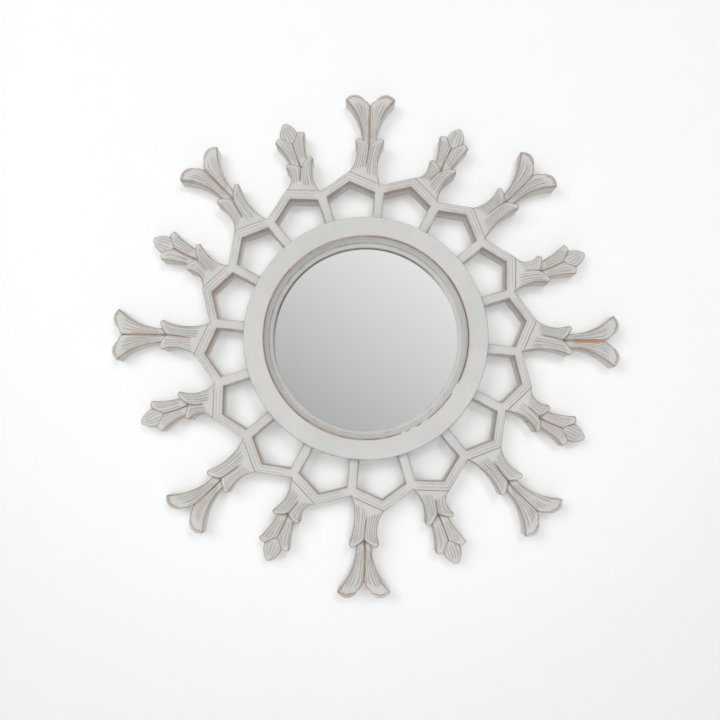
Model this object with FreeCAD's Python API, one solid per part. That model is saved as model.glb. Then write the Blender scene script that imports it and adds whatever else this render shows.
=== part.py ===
"""Sunburst wall mirror: a turned ring around a round mirror, and sixteen carved rays.

Seen from the room, X is to the right and Z is up. The room is on the -Y side, and the wall on the +Y side.
The origin is the middle of the mirror, on the ring's axis and half-way through its depth.
Depths are counted from the wall towards the room, and angles clockwise from the top as seen from the room.
"""

import FreeCAD, Part
import math
import os

# Turned ring
ring_outer_radius = 144.0
ring_depth = 33.5
ring_face_width = 24.5
ring_edge_ease = 1.2
moulding_width = 9.0
lip_thickness = 1.8
bead_width = 4.0
bead_rise = 3.2
bead_step = 1.2
cove_hollow = 2.0

# Glass and backing board
glass_thickness = 4.0
glass_hold = 4.3
glass_clearance = 0.7
board_thickness = 3.0
board_setback = 0.3

# Fret: a strut to the ring, then a band to each side, repeated around the ring
fret_depth = 25.0
fret_ease = 1.2
strut_width = 11.5
strut_length = 42.5
band_width = 11.0
band_rise = 17.5
strut_angle = 4.8

# Hand carving of each end, from the top ray on: the degrees clockwise that it leans,
# then how deep its calyx is notched, and on a tulip ray also its flower
tulip_carving = (
    (0.6, 9.1, 7.7),
    (0.0, 10.0, 10.0),
    (0.3, 11.3, 12.0),
    (0.0, 9.5, 10.0),
    (0.0, 9.4, 11.5),
    (0.0, 8.8, 15.0),
    (0.2, 8.5, 4.2),
    (0.8, 12.5, 10.3),
)
bud_carving = (
    (1.2, 9.5),
    (0.8, 9.0),
    (1.8, 7.8),
    (0.0, 10.2),
    (0.8, 7.4),
    (1.2, 9.0),
    (2.1, 9.0),
    (1.3, 10.0),
)

# Carved ends: steps and lifts from the fret's front, and lengths along each ray
calyx_root_step = 2.0
calyx_tip_lift = 2.0
calyx_left_waist = 16.2
calyx_right_waist = 11.4
calyx_tip_half = 17.5
calyx_tip_round = 3.8
tulip_calyx_length = 58.0
bud_calyx_length = 45.0
flower_waist_step = 7.0
flower_tip_step = 1.5
bloom_tuck = 18.0
bloom_reach = 50.5
bloom_waist_half = 9.8
bloom_swell_half = 14.2
bloom_flare = 24.5
bloom_tip_half = 30.5
bloom_crown_rise = 4.9
bloom_inner_half = 7.0
bloom_inner_share = 0.18
bloom_bevel = 2.4
bract_tuck = 17.0
bract_reach = 34.5
bract_waist_half = 10.6
bract_swell_half = 12.2
bract_flare = 24.0
bract_tip_half = 19.0
bract_tip_width = 8.5
bract_tip_drop = 3.0
bract_notch = 10.0
bud_tuck = 18.0
bud_length = 36.5
bud_half = 10.8
bud_tip_half = 4.2
bud_tip_round = 2.6
bud_step = 4.5
bud_ease = 2.0
groove_width = 3.0
groove_depth = 1.6
groove_lead = 7.0

# Joinery
glue_line = 0.1
dowel_radius = 3.0
dowel_length = 30.0
dowel_depth = 15.0
dowel_end_gap = 0.6
key_length = 15.0
key_width = 5.0
key_depth = 10.0

# Turn buttons behind the glass
button_count = 4
button_first_angle = 45.0
button_half_width = 3.6
button_tip_radius = 2.4
button_span = 12.5
button_thickness = 1.2
button_lift = 0.2
button_side_clearance = 0.7
button_recess = 6.0
button_screw_radius = 1.5
button_hole_clearance = 0.08
button_head_radius = 3.0
button_head_height = 1.5
button_head_lift = 0.1
button_screw_length = 12.0

# Keyhole hanger let into the back of the ring, at the top
hanger_length = 40.0
hanger_margin = 1.45
hanger_thickness = 2.0
hanger_clearance = 0.2
keyhole_entry_radius = 4.25
keyhole_slot_radius = 2.25
keyhole_travel = 5.8
keyhole_head_room = 0.3
keyhole_pocket_depth = 8.0
hanger_screw_inset = 6.0
hanger_screw_radius = 1.5
hanger_head_radius = 2.9
hanger_screw_length = 10.0
screw_fit = 0.05
screw_tip_gap = 0.5

# Sizes that follow from those above
ray_count = len(tulip_carving) + len(bud_carving)
ray_step = 360.0 / ray_count
middle_depth = ring_depth / 2
arris_radius = ring_outer_radius - ring_face_width
sight_radius = arris_radius - moulding_width
junction_radius = ring_outer_radius + strut_length
apex_radius = junction_radius + band_rise
calyx_root_depth = fret_depth - calyx_root_step
calyx_tip_depth = fret_depth + calyx_tip_lift
flower_waist_depth = fret_depth - flower_waist_step
flower_tip_depth = fret_depth - flower_tip_step
bud_depth = fret_depth - bud_step
tulip_calyx_tip = junction_radius + tulip_calyx_length
bud_calyx_tip = junction_radius + bud_calyx_length
bloom_tip = tulip_calyx_tip + bloom_reach
bract_tip = bud_calyx_tip + bract_reach
rebate_radius = sight_radius + glass_hold + glass_clearance
glass_radius = rebate_radius - glass_clearance
board_back = button_recess + board_setback
glass_back = board_back + board_thickness
lip_back = glass_back + glass_thickness
sight_front = lip_back + lip_thickness
bead_radius = sight_radius + bead_width
bead_front = sight_front + bead_rise
ledge_width = 2 * (button_half_width + button_side_clearance)
ledge_radius = rebate_radius + ledge_width
button_pivot_radius = rebate_radius + ledge_width / 2
button_back = button_recess - button_lift - button_thickness
button_head_front = button_back - button_head_lift
button_pilot_end = button_head_front + button_screw_length + screw_tip_gap
hanger_middle = (ledge_radius + ring_outer_radius) / 2
hanger_height = ring_outer_radius - ledge_radius - 2 * hanger_margin
hanger_pilot_end = hanger_screw_length + screw_tip_gap
keyhole_entry_height = hanger_middle - (keyhole_travel + keyhole_slot_radius - keyhole_entry_radius) / 2


def at(across, up, depth):
    """A point in space from its place in the front view and its depth from the wall."""
    return FreeCAD.Vector(across, middle_depth - depth, up)


def polar(radius, degrees):
    """A front-view point from its radius and its angle clockwise from the top."""
    angle = math.radians(degrees)
    return (radius * math.sin(angle), radius * math.cos(angle))


def turned(point, degrees):
    """A front-view point turned clockwise about the ring's axis."""
    angle = math.radians(degrees)
    across, up = point
    return (
        across * math.cos(angle) + up * math.sin(angle),
        up * math.cos(angle) - across * math.sin(angle),
    )


def beside(start, end, distance):
    """The line from start to end, moved to its right-hand side in the front view."""
    run = (end[0] - start[0], end[1] - start[1])
    scale = distance / math.hypot(*run)
    shift = (run[1] * scale, -run[0] * scale)
    return (
        (start[0] + shift[0], start[1] + shift[1]),
        (end[0] + shift[0], end[1] + shift[1]),
    )


def meet(first, second):
    """The front-view point where two lines cross."""
    (a, b), (c, d) = first, second
    run = (b[0] - a[0], b[1] - a[1])
    other = (d[0] - c[0], d[1] - c[1])
    cross = run[0] * other[1] - run[1] * other[0]
    share = ((c[0] - a[0]) * other[1] - (c[1] - a[1]) * other[0]) / cross
    return (a[0] + share * run[0], a[1] + share * run[1])


def between(first, second, share=0.5):
    """A front-view point on the way from the first point to the second."""
    return (
        first[0] + share * (second[0] - first[0]),
        first[1] + share * (second[1] - first[1]),
    )


def closed_face(place, start, steps):
    """A flat face whose outline goes from start by lines (end,) and arcs (through, end)."""
    edges = []
    here = start
    for step in steps:
        if len(step) == 1:
            edges.append(Part.makeLine(place(here), place(step[0])))
        else:
            edges.append(Part.Arc(place(here), place(step[0]), place(step[1])).toShape())
        here = step[-1]
    return Part.Face(Part.Wire(edges))


def slab(start, steps, back, front):
    """A front-view outline given thickness between two depths."""
    face = closed_face(lambda point: at(point[0], point[1], back), start, steps)
    return face.extrude(FreeCAD.Vector(0, back - front, 0))


def turned_solid(start, steps):
    """A profile of (radius, depth) points turned about the ring's axis."""
    face = closed_face(lambda point: at(point[0], 0, point[1]), start, steps)
    return face.revolve(FreeCAD.Vector(0, 0, 0), FreeCAD.Vector(0, 1, 0), 360)


def stadium(centre, direction, length, width, back, front):
    """A bar with round ends, centred in the front view and lying along a direction."""
    half = width / 2
    reach = length / 2 - half
    side = (direction[1], -direction[0])

    def spot(forward, sideways):
        return (
            centre[0] + forward * direction[0] + sideways * side[0],
            centre[1] + forward * direction[1] + sideways * side[1],
        )

    return slab(
        spot(-reach, -half),
        [
            (spot(reach, -half),),
            (spot(reach + half, 0), spot(reach, half)),
            (spot(-reach, half),),
            (spot(-reach - half, 0), spot(-reach, -half)),
        ],
        back,
        front,
    )


def rod(radius, centre, back, front):
    """A round bar square to the wall."""
    return Part.makeCylinder(radius, front - back, at(*centre, back), FreeCAD.Vector(0, -1, 0))


def radial_rod(radius, inner, outer, degrees, depth):
    """A round bar pointing away from the ring's axis."""
    start = at(*polar(inner, degrees), depth)
    end = at(*polar(outer, degrees), depth)
    return Part.makeCylinder(radius, outer - inner, start, end.sub(start))


def spun(shape, degrees):
    """A copy turned clockwise about the ring's axis."""
    copy = shape.copy()
    copy.rotate(FreeCAD.Vector(0, 0, 0), FreeCAD.Vector(0, 1, 0), degrees)
    return copy


def around(shape, count, first=0.0):
    """Equal copies spread around the ring's axis."""
    return [spun(shape, first + index * 360.0 / count) for index in range(count)]


# Corners of the fret around a ray that points up
far_strut_angle = strut_angle - ray_step
apex = polar(apex_radius, strut_angle - ray_step / 2)
junction = polar(junction_radius, strut_angle)
far_junction = polar(junction_radius, far_strut_angle)
flower_band_inside = beside(apex, junction, band_width)
plain_band_inside = beside(far_junction, apex, band_width)
strut_left = beside((0, 0), junction, -strut_width / 2)
far_strut_right = beside((0, 0), far_junction, strut_width / 2)
inner_apex = meet(plain_band_inside, flower_band_inside)
near_corner = meet(flower_band_inside, strut_left)
far_corner = meet(plain_band_inside, far_strut_right)
joint_corner = turned(far_corner, ray_step)
band_length = math.dist(far_junction, apex)
band_run = ((apex[0] - far_junction[0]) / band_length, (apex[1] - far_junction[1]) / band_length)


def joint_key(allowance):
    """The key across a ray's joint with the ray before it, or with an allowance the slot that takes it."""
    return stadium(
        between(far_junction, far_corner),
        band_run,
        key_length + 2 * allowance,
        key_width + 2 * allowance,
        0,
        key_depth + allowance,
    )


def dowel_hole():
    """The hole for one dowel, through the ring's edge and into the strut of a ray that points up."""
    reach = dowel_length / 2 + dowel_end_gap
    return radial_rod(
        dowel_radius + glue_line,
        ring_outer_radius - reach,
        ring_outer_radius + reach,
        strut_angle,
        dowel_depth,
    )


def strut_foot(side):
    """Where one side of the strut meets the curve cut to fit the ring."""
    radius = ring_outer_radius + glue_line
    return turned((side * strut_width / 2, math.sqrt(radius**2 - (strut_width / 2) ** 2)), strut_angle)


def fret_piece():
    """The strut and the two bands of one ray, with eased front edges."""
    outline = [
        (near_corner,),
        (inner_apex,),
        (far_corner,),
        (far_junction,),
        (apex,),
        (junction,),
        (joint_corner,),
        (strut_foot(1),),
        (polar(ring_outer_radius + glue_line, strut_angle), strut_foot(-1)),
    ]
    block = slab(strut_foot(-1), outline, 0, fret_depth)
    eased_runs = [
        (strut_foot(-1), near_corner),
        (near_corner, inner_apex),
        (inner_apex, far_corner),
        (far_junction, apex),
        (joint_corner, strut_foot(1)),
    ]
    eased_middles = [at(*between(*run), fret_depth) for run in eased_runs]
    front_edges = [
        edge
        for edge in block.Edges
        if any(edge.CenterOfMass.distanceToPoint(middle) < glue_line for middle in eased_middles)
    ]
    return block.makeChamfer(fret_ease, front_edges)


def slope_front(piece, low_up, low_depth, high_up, high_depth):
    """Cuts a piece's front back to a plane that rises along the ray."""
    clear = ring_depth + fret_depth
    wide = 2 * apex_radius
    rise = (high_depth - low_depth) / (high_up - low_up)
    start = low_up - clear
    end = high_up + clear
    corners = [
        at(-apex_radius, start, low_depth - rise * clear),
        at(-apex_radius, end, high_depth + rise * clear),
        at(-apex_radius, end, high_depth + clear),
        at(-apex_radius, start, high_depth + clear),
    ]
    wedge = Part.Face(Part.makePolygon(corners + corners[:1])).extrude(FreeCAD.Vector(wide, 0, 0))
    return piece.cut(wedge)


def vein(low_up, low_depth, high_up, high_depth):
    """A cutter for the V groove between two leaves or petals, following their sloping front."""
    low = at(0, low_up, low_depth)
    high = at(0, high_up, high_depth)
    half = FreeCAD.Vector(groove_width / 2, 0, 0)
    sunk = FreeCAD.Vector(0, groove_depth, 0)
    lifted = FreeCAD.Vector(0, -groove_depth, 0)
    section = [low + sunk, low - half + lifted, low + half + lifted, low + sunk]
    return Part.Face(Part.makePolygon(section)).extrude(high.sub(low))


def calyx(tip, notch, lean):
    """The leafy cup that grows from the fret: two tips with a V between them."""
    length = tip - junction_radius
    shoulder = tip - calyx_tip_round
    inner_half = calyx_tip_half - calyx_tip_round
    waist = tip - length / 2
    notch_up = tip - notch
    block = slab(
        apex,
        [
            (turned((-calyx_left_waist, waist), lean / 2), turned((-calyx_tip_half, shoulder), lean)),
            (turned((-inner_half, tip), lean),),
            (turned((0, notch_up), lean),),
            (turned((inner_half, tip), lean),),
            (turned((calyx_tip_half, shoulder), lean),),
            (turned((calyx_right_waist, waist), lean / 2), junction),
            (apex,),
        ],
        0,
        calyx_tip_depth + fret_ease,
    )
    sloped = slope_front(block, junction_radius, calyx_root_depth, tip, calyx_tip_depth)
    start = apex[1] + groove_lead
    rise = (calyx_tip_depth - calyx_root_depth) / length
    start_depth = calyx_root_depth + rise * (start - junction_radius)
    return sloped.cut(spun(vein(start, start_depth, tip, calyx_tip_depth), lean))


def bloom(notch):
    """The flower of a tulip ray: two flaring lobes with bevelled ends and a notch between them."""
    start = tulip_calyx_tip - bloom_tuck
    swell = bloom_tip - bloom_flare
    crown = bloom_tip + bloom_crown_rise
    crown_half = (bloom_tip_half + bloom_inner_half) / 2
    inner = bloom_tip - bloom_inner_share * notch
    block = slab(
        (-bloom_waist_half, start),
        [
            ((-bloom_swell_half, swell), (-bloom_tip_half, bloom_tip)),
            ((-crown_half, crown), (-bloom_inner_half, inner)),
            ((0, bloom_tip - notch),),
            ((bloom_inner_half, inner),),
            ((crown_half, crown), (bloom_tip_half, bloom_tip)),
            ((bloom_swell_half, swell), (bloom_waist_half, start)),
            ((-bloom_waist_half, start),),
        ],
        0,
        flower_tip_depth,
    )
    sloped = slope_front(block, start, flower_waist_depth, bloom_tip, flower_tip_depth)
    bevel_start = bloom_tip - bloom_bevel
    bevelled = slope_front(sloped, bevel_start, flower_tip_depth, crown, flower_tip_depth - bloom_bevel)
    return bevelled.cut(vein(start, flower_waist_depth, bloom_tip, flower_tip_depth))


def bracts():
    """The second pair of leaves on a bud ray, with blunt tips."""
    start = bud_calyx_tip - bract_tuck
    swell = bract_tip - bract_flare
    inner_half = bract_tip_half - bract_tip_width
    outer_tip = bract_tip - bract_tip_drop
    block = slab(
        (-bract_waist_half, start),
        [
            ((-bract_swell_half, swell), (-bract_tip_half, outer_tip)),
            ((-inner_half, bract_tip),),
            ((0, bract_tip - bract_notch),),
            ((inner_half, bract_tip),),
            ((bract_tip_half, outer_tip),),
            ((bract_swell_half, swell), (bract_waist_half, start)),
            ((-bract_waist_half, start),),
        ],
        0,
        flower_tip_depth,
    )
    sloped = slope_front(block, start, flower_waist_depth, bract_tip, flower_tip_depth)
    return sloped.cut(vein(start, flower_waist_depth, bract_tip, flower_tip_depth))


def bud():
    """The closed oval bud at the end of a bud ray."""
    start = bract_tip - bud_tuck
    middle = start + bud_length / 2
    end = start + bud_length
    shoulder = end - bud_tip_round
    block = slab(
        (0, start),
        [
            ((-bud_half, middle), (-bud_tip_half, shoulder)),
            ((0, end), (bud_tip_half, shoulder)),
            ((bud_half, middle), (0, start)),
        ],
        0,
        bud_depth,
    )
    front = [edge for edge in block.Edges if edge.BoundBox.YMax < at(0, 0, bud_depth - glue_line).y]
    return block.makeChamfer(bud_ease, front)


def ray(*carving):
    """One ray pointing up, cut for its dowel and its two keys."""
    solid = fret_piece().fuse(list(carving)).removeSplitter()
    slot = joint_key(glue_line)
    return solid.cut([dowel_hole(), slot, spun(slot, ray_step)])


def tulip_ray(lean, calyx_notch, bloom_notch):
    """A long ray: calyx and open flower."""
    return ray(calyx(tulip_calyx_tip, calyx_notch, lean), spun(bloom(bloom_notch), lean))


def bud_ray(lean, calyx_notch):
    """A short ray: calyx, bracts and closed bud."""
    return ray(calyx(bud_calyx_tip, calyx_notch, lean), spun(bracts(), lean), spun(bud(), lean))


def mirror_ring():
    """The turned ring: flat face, cove and bead in front, glass rebate and ledge behind."""
    cove_low = (bead_radius + bead_step, bead_front)
    cove_high = (arris_radius, ring_depth)
    cove_middle = between(cove_low, cove_high)
    cove_run = math.dist(cove_low, cove_high)
    cove_through = (
        cove_middle[0] + cove_hollow * (cove_high[1] - cove_low[1]) / cove_run,
        cove_middle[1] - cove_hollow * (cove_high[0] - cove_low[0]) / cove_run,
    )
    ring = turned_solid(
        (ring_outer_radius, 0),
        [
            ((ring_outer_radius, ring_depth - ring_edge_ease),),
            ((ring_outer_radius - ring_edge_ease, ring_depth),),
            (cove_high,),
            (cove_through, cove_low),
            ((bead_radius, bead_front),),
            ((sight_radius, sight_front),),
            ((sight_radius, lip_back),),
            ((rebate_radius, lip_back),),
            ((rebate_radius, button_recess),),
            ((ledge_radius, button_recess),),
            ((ledge_radius, 0),),
            ((ring_outer_radius, 0),),
        ],
    )
    button_pilot = rod(
        button_screw_radius + screw_fit,
        (0, button_pivot_radius),
        button_recess,
        button_pilot_end,
    )
    cuts = around(dowel_hole(), ray_count)
    cuts += around(button_pilot, button_count, button_first_angle)
    cuts += [rod(hanger_screw_radius + screw_fit, spot, 0, hanger_pilot_end) for spot in hanger_screw_spots()]
    cuts.append(hanger_outline(hanger_clearance, 0, hanger_thickness))
    cuts.append(keyhole_pocket())
    return ring.cut(cuts)


def mirror_glass():
    """The round mirror, face down on the ring's lip."""
    return rod(glass_radius, (0, 0), glass_back, lip_back)


def backing_board():
    """The board that presses on the back of the glass."""
    return rod(glass_radius, (0, 0), board_back, glass_back)


def turn_button():
    """A turn button at the top of the ring, pointing in over the board."""
    slope = (button_half_width - button_tip_radius) / button_span
    rise = math.sqrt(1 - slope**2)
    pivot = button_pivot_radius
    tip = pivot - button_span
    wide = (button_half_width * rise, pivot - button_half_width * slope)
    narrow = (button_tip_radius * rise, tip - button_tip_radius * slope)
    plate = slab(
        wide,
        [
            (narrow,),
            ((0, tip - button_tip_radius), (-narrow[0], narrow[1])),
            ((-wide[0], wide[1]),),
            ((0, pivot + button_half_width), wide),
        ],
        button_back,
        button_back + button_thickness,
    )
    hole_radius = button_screw_radius + button_hole_clearance
    return plate.cut(rod(hole_radius, (0, pivot), 0, button_recess))


def button_screw():
    """The round-head screw that one turn button turns on, at the top of the ring."""
    spot = (0, button_pivot_radius)
    shank = rod(button_screw_radius, spot, button_head_front, button_head_front + button_screw_length)
    head = rod(button_head_radius, spot, button_head_front - button_head_height, button_head_front)
    return shank.fuse(head).removeSplitter()


def hanger_outline(allowance, back, front):
    """The hanger plate's outline, or with an allowance the recess that takes it."""
    return stadium(
        (0, hanger_middle),
        (1, 0),
        hanger_length + 2 * allowance,
        hanger_height + 2 * allowance,
        back,
        front,
    )


def keyhole_pocket():
    """Room behind the plate for the head of the wall screw, in both its places."""
    room = keyhole_entry_radius + keyhole_head_room
    middle = keyhole_entry_height + keyhole_travel / 2
    return stadium((0, middle), (0, 1), keyhole_travel + 2 * room, 2 * room, 0, keyhole_pocket_depth)


def hanger_screw_spots():
    """Where the two screws of the hanger plate go."""
    reach = hanger_length / 2 - hanger_screw_inset
    return [(-reach, hanger_middle), (reach, hanger_middle)]


def hanger_screw(spot, allowance):
    """A countersunk screw flush with the plate, or with an allowance the hole that it needs."""
    shank_radius = hanger_screw_radius + allowance
    cone = Part.makeCone(
        hanger_head_radius + allowance,
        shank_radius,
        hanger_thickness,
        at(*spot, 0),
        FreeCAD.Vector(0, -1, 0),
    )
    return cone.fuse(rod(shank_radius, spot, 0, hanger_screw_length)).removeSplitter()


def hanger_plate():
    """The steel keyhole plate."""
    plate = hanger_outline(0, 0, hanger_thickness)
    slot_middle = keyhole_entry_height + keyhole_travel / 2
    slot = stadium(
        (0, slot_middle),
        (0, 1),
        keyhole_travel + 2 * keyhole_slot_radius,
        2 * keyhole_slot_radius,
        0,
        hanger_thickness,
    )
    entry = rod(keyhole_entry_radius, (0, keyhole_entry_height), 0, hanger_thickness)
    holes = [hanger_screw(spot, screw_fit) for spot in hanger_screw_spots()]
    return plate.cut([slot, entry] + holes)


def save(name, shape):
    """Writes one sub-part."""
    shape.exportStep(os.path.join("parts", name + ".step"))


os.makedirs("parts", exist_ok=True)

for index, carving in enumerate(tulip_carving):
    save(f"tulip_ray_{index + 1}", spun(tulip_ray(*carving), 2 * index * ray_step))
for index, carving in enumerate(bud_carving):
    save(f"bud_ray_{index + 1}", spun(bud_ray(*carving), (2 * index + 1) * ray_step))

half_dowel = dowel_length / 2
dowel = radial_rod(
    dowel_radius,
    ring_outer_radius - half_dowel,
    ring_outer_radius + half_dowel,
    strut_angle,
    dowel_depth,
)
save("ring_dowels", Part.makeCompound(around(dowel, ray_count)))
save("joint_keys", Part.makeCompound(around(joint_key(0), ray_count)))

save("mirror_ring", mirror_ring())
save("mirror_glass", mirror_glass())
save("backing_board", backing_board())

for index, piece in enumerate(around(turn_button(), button_count, button_first_angle)):
    save(f"turn_button_{index + 1}", piece)
save("button_screws", Part.makeCompound(around(button_screw(), button_count, button_first_angle)))

save("hanger_plate", hanger_plate())
save("hanger_screws", Part.makeCompound([hanger_screw(spot, 0) for spot in hanger_screw_spots()]))
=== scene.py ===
# %% [markdown]
# # A carved sunburst mirror
# A turned wooden ring holds a round mirror, and sixteen carved rays stand around it. This lesson dresses
# the measured solids: it carves the rays as fine meshes, sweeps the ring, and paints everything with worn
# grey chalk paint. Plain hardware, such as the hanger plate and the turn buttons, keeps its measured mesh
# and gets a finish.

import math

import bpy
import numpy as np
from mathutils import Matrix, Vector
from mathutils.geometry import delaunay_2d_cdt


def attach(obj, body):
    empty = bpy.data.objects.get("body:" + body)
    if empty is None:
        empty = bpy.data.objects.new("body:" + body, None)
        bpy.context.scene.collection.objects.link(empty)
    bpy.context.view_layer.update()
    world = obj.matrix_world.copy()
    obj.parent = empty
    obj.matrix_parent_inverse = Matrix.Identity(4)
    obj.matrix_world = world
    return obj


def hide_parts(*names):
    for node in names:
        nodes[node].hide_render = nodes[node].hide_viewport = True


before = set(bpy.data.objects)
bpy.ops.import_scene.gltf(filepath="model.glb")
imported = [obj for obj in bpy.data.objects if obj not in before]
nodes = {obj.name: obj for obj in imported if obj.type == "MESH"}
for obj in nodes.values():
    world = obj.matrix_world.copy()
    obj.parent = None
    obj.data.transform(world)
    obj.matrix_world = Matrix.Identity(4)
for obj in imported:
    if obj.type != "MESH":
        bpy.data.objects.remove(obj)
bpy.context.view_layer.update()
MM, METRE = 0.001, 1000
print("solids loaded:", len(nodes))

# %% [markdown]
# ## Where things are
# All sizes are in millimetres. Seen from the room, X is to the right and Z is up, the room is towards -Y,
# and the wall is at Y = 16.75. A ray is drawn pointing straight up, with `s` across and `r` along it,
# measured from the ring's axis, and is then turned to its own angle. Depth is counted from the wall
# towards the room.

# %% Sizes of the ring and of the fret between it and the rays
WALL_Y = 16.75
RING_RADIUS = 144.0
RAY_STEP = 22.5
STRUT_ANGLE = 4.8
STRUT_WIDTH = 11.5
BAND_WIDTH = 11.0
FRET_DEPTH = 25.0
JUNCTION_RADIUS = 186.5
APEX_RADIUS = 204.0
GLUE = 0.1


def turned(point, degrees):
    """A front-view point, or many, turned clockwise about the ring's axis."""
    point = np.asarray(point, float)
    angle = np.radians(degrees)
    s, r = point[..., 0], point[..., 1]
    return np.stack((s * np.cos(angle) + r * np.sin(angle), r * np.cos(angle) - s * np.sin(angle)), -1)


def polar(radius, degrees):
    return turned((0, radius), degrees)


def beside(start, end, distance):
    """The line from start to end, moved to its right-hand side."""
    run = (end - start) / np.linalg.norm(end - start)
    shift = distance * np.array((run[1], -run[0]))
    return start + shift, end + shift


def meet(first, second):
    """The point where two lines cross."""
    (a, b), (c, d) = first, second
    share = np.linalg.solve(np.stack((b - a, c - d), 1), c - a)[0]
    return a + share * (b - a)


apex = polar(APEX_RADIUS, STRUT_ANGLE - RAY_STEP / 2)
junction = polar(JUNCTION_RADIUS, STRUT_ANGLE)
far_junction = polar(JUNCTION_RADIUS, STRUT_ANGLE - RAY_STEP)
axis_point = np.zeros(2)
near_inside = beside(apex, junction, BAND_WIDTH)
far_inside = beside(far_junction, apex, BAND_WIDTH)
inner_apex = meet(far_inside, near_inside)
near_corner = meet(near_inside, beside(axis_point, junction, -STRUT_WIDTH / 2))
far_corner = meet(far_inside, beside(axis_point, far_junction, STRUT_WIDTH / 2))
joint_corner = turned(far_corner, RAY_STEP)
print("fret corners:", apex.round(1), junction.round(1), inner_apex.round(1))

# %% [markdown]
# ## Outlines
# A carver first saws the outline of a ray from a board. The same is done here: an outline is a list of
# lines and arcs, cut into short steps. Every stretch says how worn its edge is, from 0 for a glued joint,
# which stays square and hidden, to 1 for an edge that is rubbed through to the wood.

# %% Lines and arcs as points
OUTLINE_STEP = 1.0


def arc_points(start, through, end, step=OUTLINE_STEP):
    """Points on the arc after start, up to end."""
    a, b, c = (np.asarray(p, float) for p in (start, through, end))
    squares = [(p * p).sum() - (a * a).sum() for p in (b, c)]
    centre = np.linalg.solve(2 * np.stack((b - a, c - a)), squares)
    first, middle, last = (math.atan2(*(p - centre)[::-1]) for p in (a, b, c))
    sweep = (last - first) % (2 * math.pi)
    if (middle - first) % (2 * math.pi) > sweep:
        sweep -= 2 * math.pi
    radius = np.linalg.norm(a - centre)
    count = max(2, math.ceil(abs(sweep) * radius / step))
    angles = first + sweep * np.arange(1, count + 1) / count
    return centre + radius * np.stack((np.cos(angles), np.sin(angles)), 1)


def line_points(start, end):
    """Points on the line after start, up to end."""
    count = max(1, math.ceil(np.linalg.norm(np.subtract(end, start)) / OUTLINE_STEP))
    share = np.arange(1, count + 1)[:, None] / count
    return np.asarray(start, float) * (1 - share) + np.asarray(end, float) * share


def bowed(start, end, rise):
    """A point beside the middle of a stretch, on its left, for an arc through it."""
    run = np.subtract(end, start)
    return np.add(start, end) / 2 + rise * np.array((-run[1], run[0])) / np.linalg.norm(run)


def outline(start, steps):
    """A closed outline, anticlockwise: its points, and how worn the stretch after each point is."""
    here = np.asarray(start, float)
    points, worn = [], []
    for wear, *way in steps:
        part = line_points(here, *way) if len(way) == 1 else arc_points(here, *way)
        points.append(part)
        worn += [wear] * len(part)
        here = part[-1]
    points, worn = np.concatenate(points), np.array(worn)
    after = np.roll(points, -1, 0)
    if (points[:, 0] * after[:, 1] - points[:, 1] * after[:, 0]).sum() < 0:
        return points[::-1].copy(), worn[::-1].copy()
    return points, np.roll(worn, -1)


# %% [markdown]
# ## Carving in relief
# A ray's front is a relief, so it can be a height above each point of its outline. The points lie close
# together along edges and carved lines and wide apart elsewhere, a constrained triangulation joins them,
# and walls and a flat back close the shell. Every point also gets two numbers for the paint: how near it
# is to a rubbed edge, and how much dark colour it gets, which is glazing in carved lines and painted shade
# on the walls and under the leaf tips. A sculpted grid would need far more faces for such lines.

# %% Distances to outlines and carved lines
def distance_to(points, path, closed=False):
    """Distance of each point from a path, with the nearest segment and the share along it."""
    start = path if closed else path[:-1]
    run = (np.roll(path, -1, 0) if closed else path[1:]) - start
    reach = points[:, None] - start[None]
    share = np.clip((reach * run).sum(2) / np.maximum((run * run).sum(1), 1e-12), 0, 1)
    gaps = np.linalg.norm(reach - share[..., None] * run, axis=2)
    nearest = gaps.argmin(1)
    rows = np.arange(len(points))
    return gaps[rows, nearest], nearest, share[rows, nearest]


def inside(points, loop):
    """Which points lie inside a closed outline."""
    a, b = loop, np.roll(loop, -1, 0)
    up = points[:, 1:]
    crosses = (a[:, 1] > up) != (b[:, 1] > up)
    rise = np.where(a[:, 1] == b[:, 1], 1.0, b[:, 1] - a[:, 1])
    cut = a[:, 0] + (up - a[:, 1]) * (b[:, 0] - a[:, 0]) / rise
    return (crosses & (points[:, :1] < cut)).sum(1) % 2 == 1


def smooth(low, high, value):
    share = np.clip((value - low) / (high - low), 0, 1)
    return share * share * (3 - 2 * share)


WOBBLE_LENGTHS, WOBBLE_SIZE, WOBBLE_SEED = (9.0, 13.0, 21.0, 34.0, 55.0), 0.06, 41


def hand_wobble(points):
    """The small unevenness of hand carving, in millimetres, the same wherever two pieces meet."""
    rng = np.random.default_rng(WOBBLE_SEED)
    total = np.zeros(len(points))
    for length in WOBBLE_LENGTHS:
        angle, phase = rng.uniform(0, 2 * math.pi, 2)
        along = points @ (math.cos(angle), math.sin(angle))
        total += WOBBLE_SIZE * np.sin(2 * math.pi * along / length + phase)
    return total


# %% Points of a relief
EDGE_ROWS = (0.3, 0.7, 1.2, 1.9, 2.8)
LINE_ROWS = (0.0, -0.4, 0.4, -0.85, 0.85, -1.5, 1.5)
LINE_STEP = 0.9
GRID_STEP = 1.7
GRID_ROW_STEP = 0.87 * GRID_STEP
LEAST_SPACING, GRID_SPACING, EDGE_SPACING = 0.36, 1.3, 0.24


def resampled(path, step):
    length = np.concatenate(((0,), np.cumsum(np.linalg.norm(np.diff(path, axis=0), axis=1))))
    along = np.linspace(0, length[-1], max(2, round(length[-1] / step) + 1))
    return np.stack([np.interp(along, length, path[:, k]) for k in (0, 1)], 1)


def beside_path(path, distance):
    run = np.gradient(path, axis=0)
    run /= np.linalg.norm(run, axis=1)[:, None]
    return path + distance * np.stack((-run[:, 1], run[:, 0]), 1)


def square_of(points, size):
    """One number for the square of a coarse grid that each point lies in."""
    return (np.floor(points / size).astype(int) * (1, 100003)).sum(1)


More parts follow.
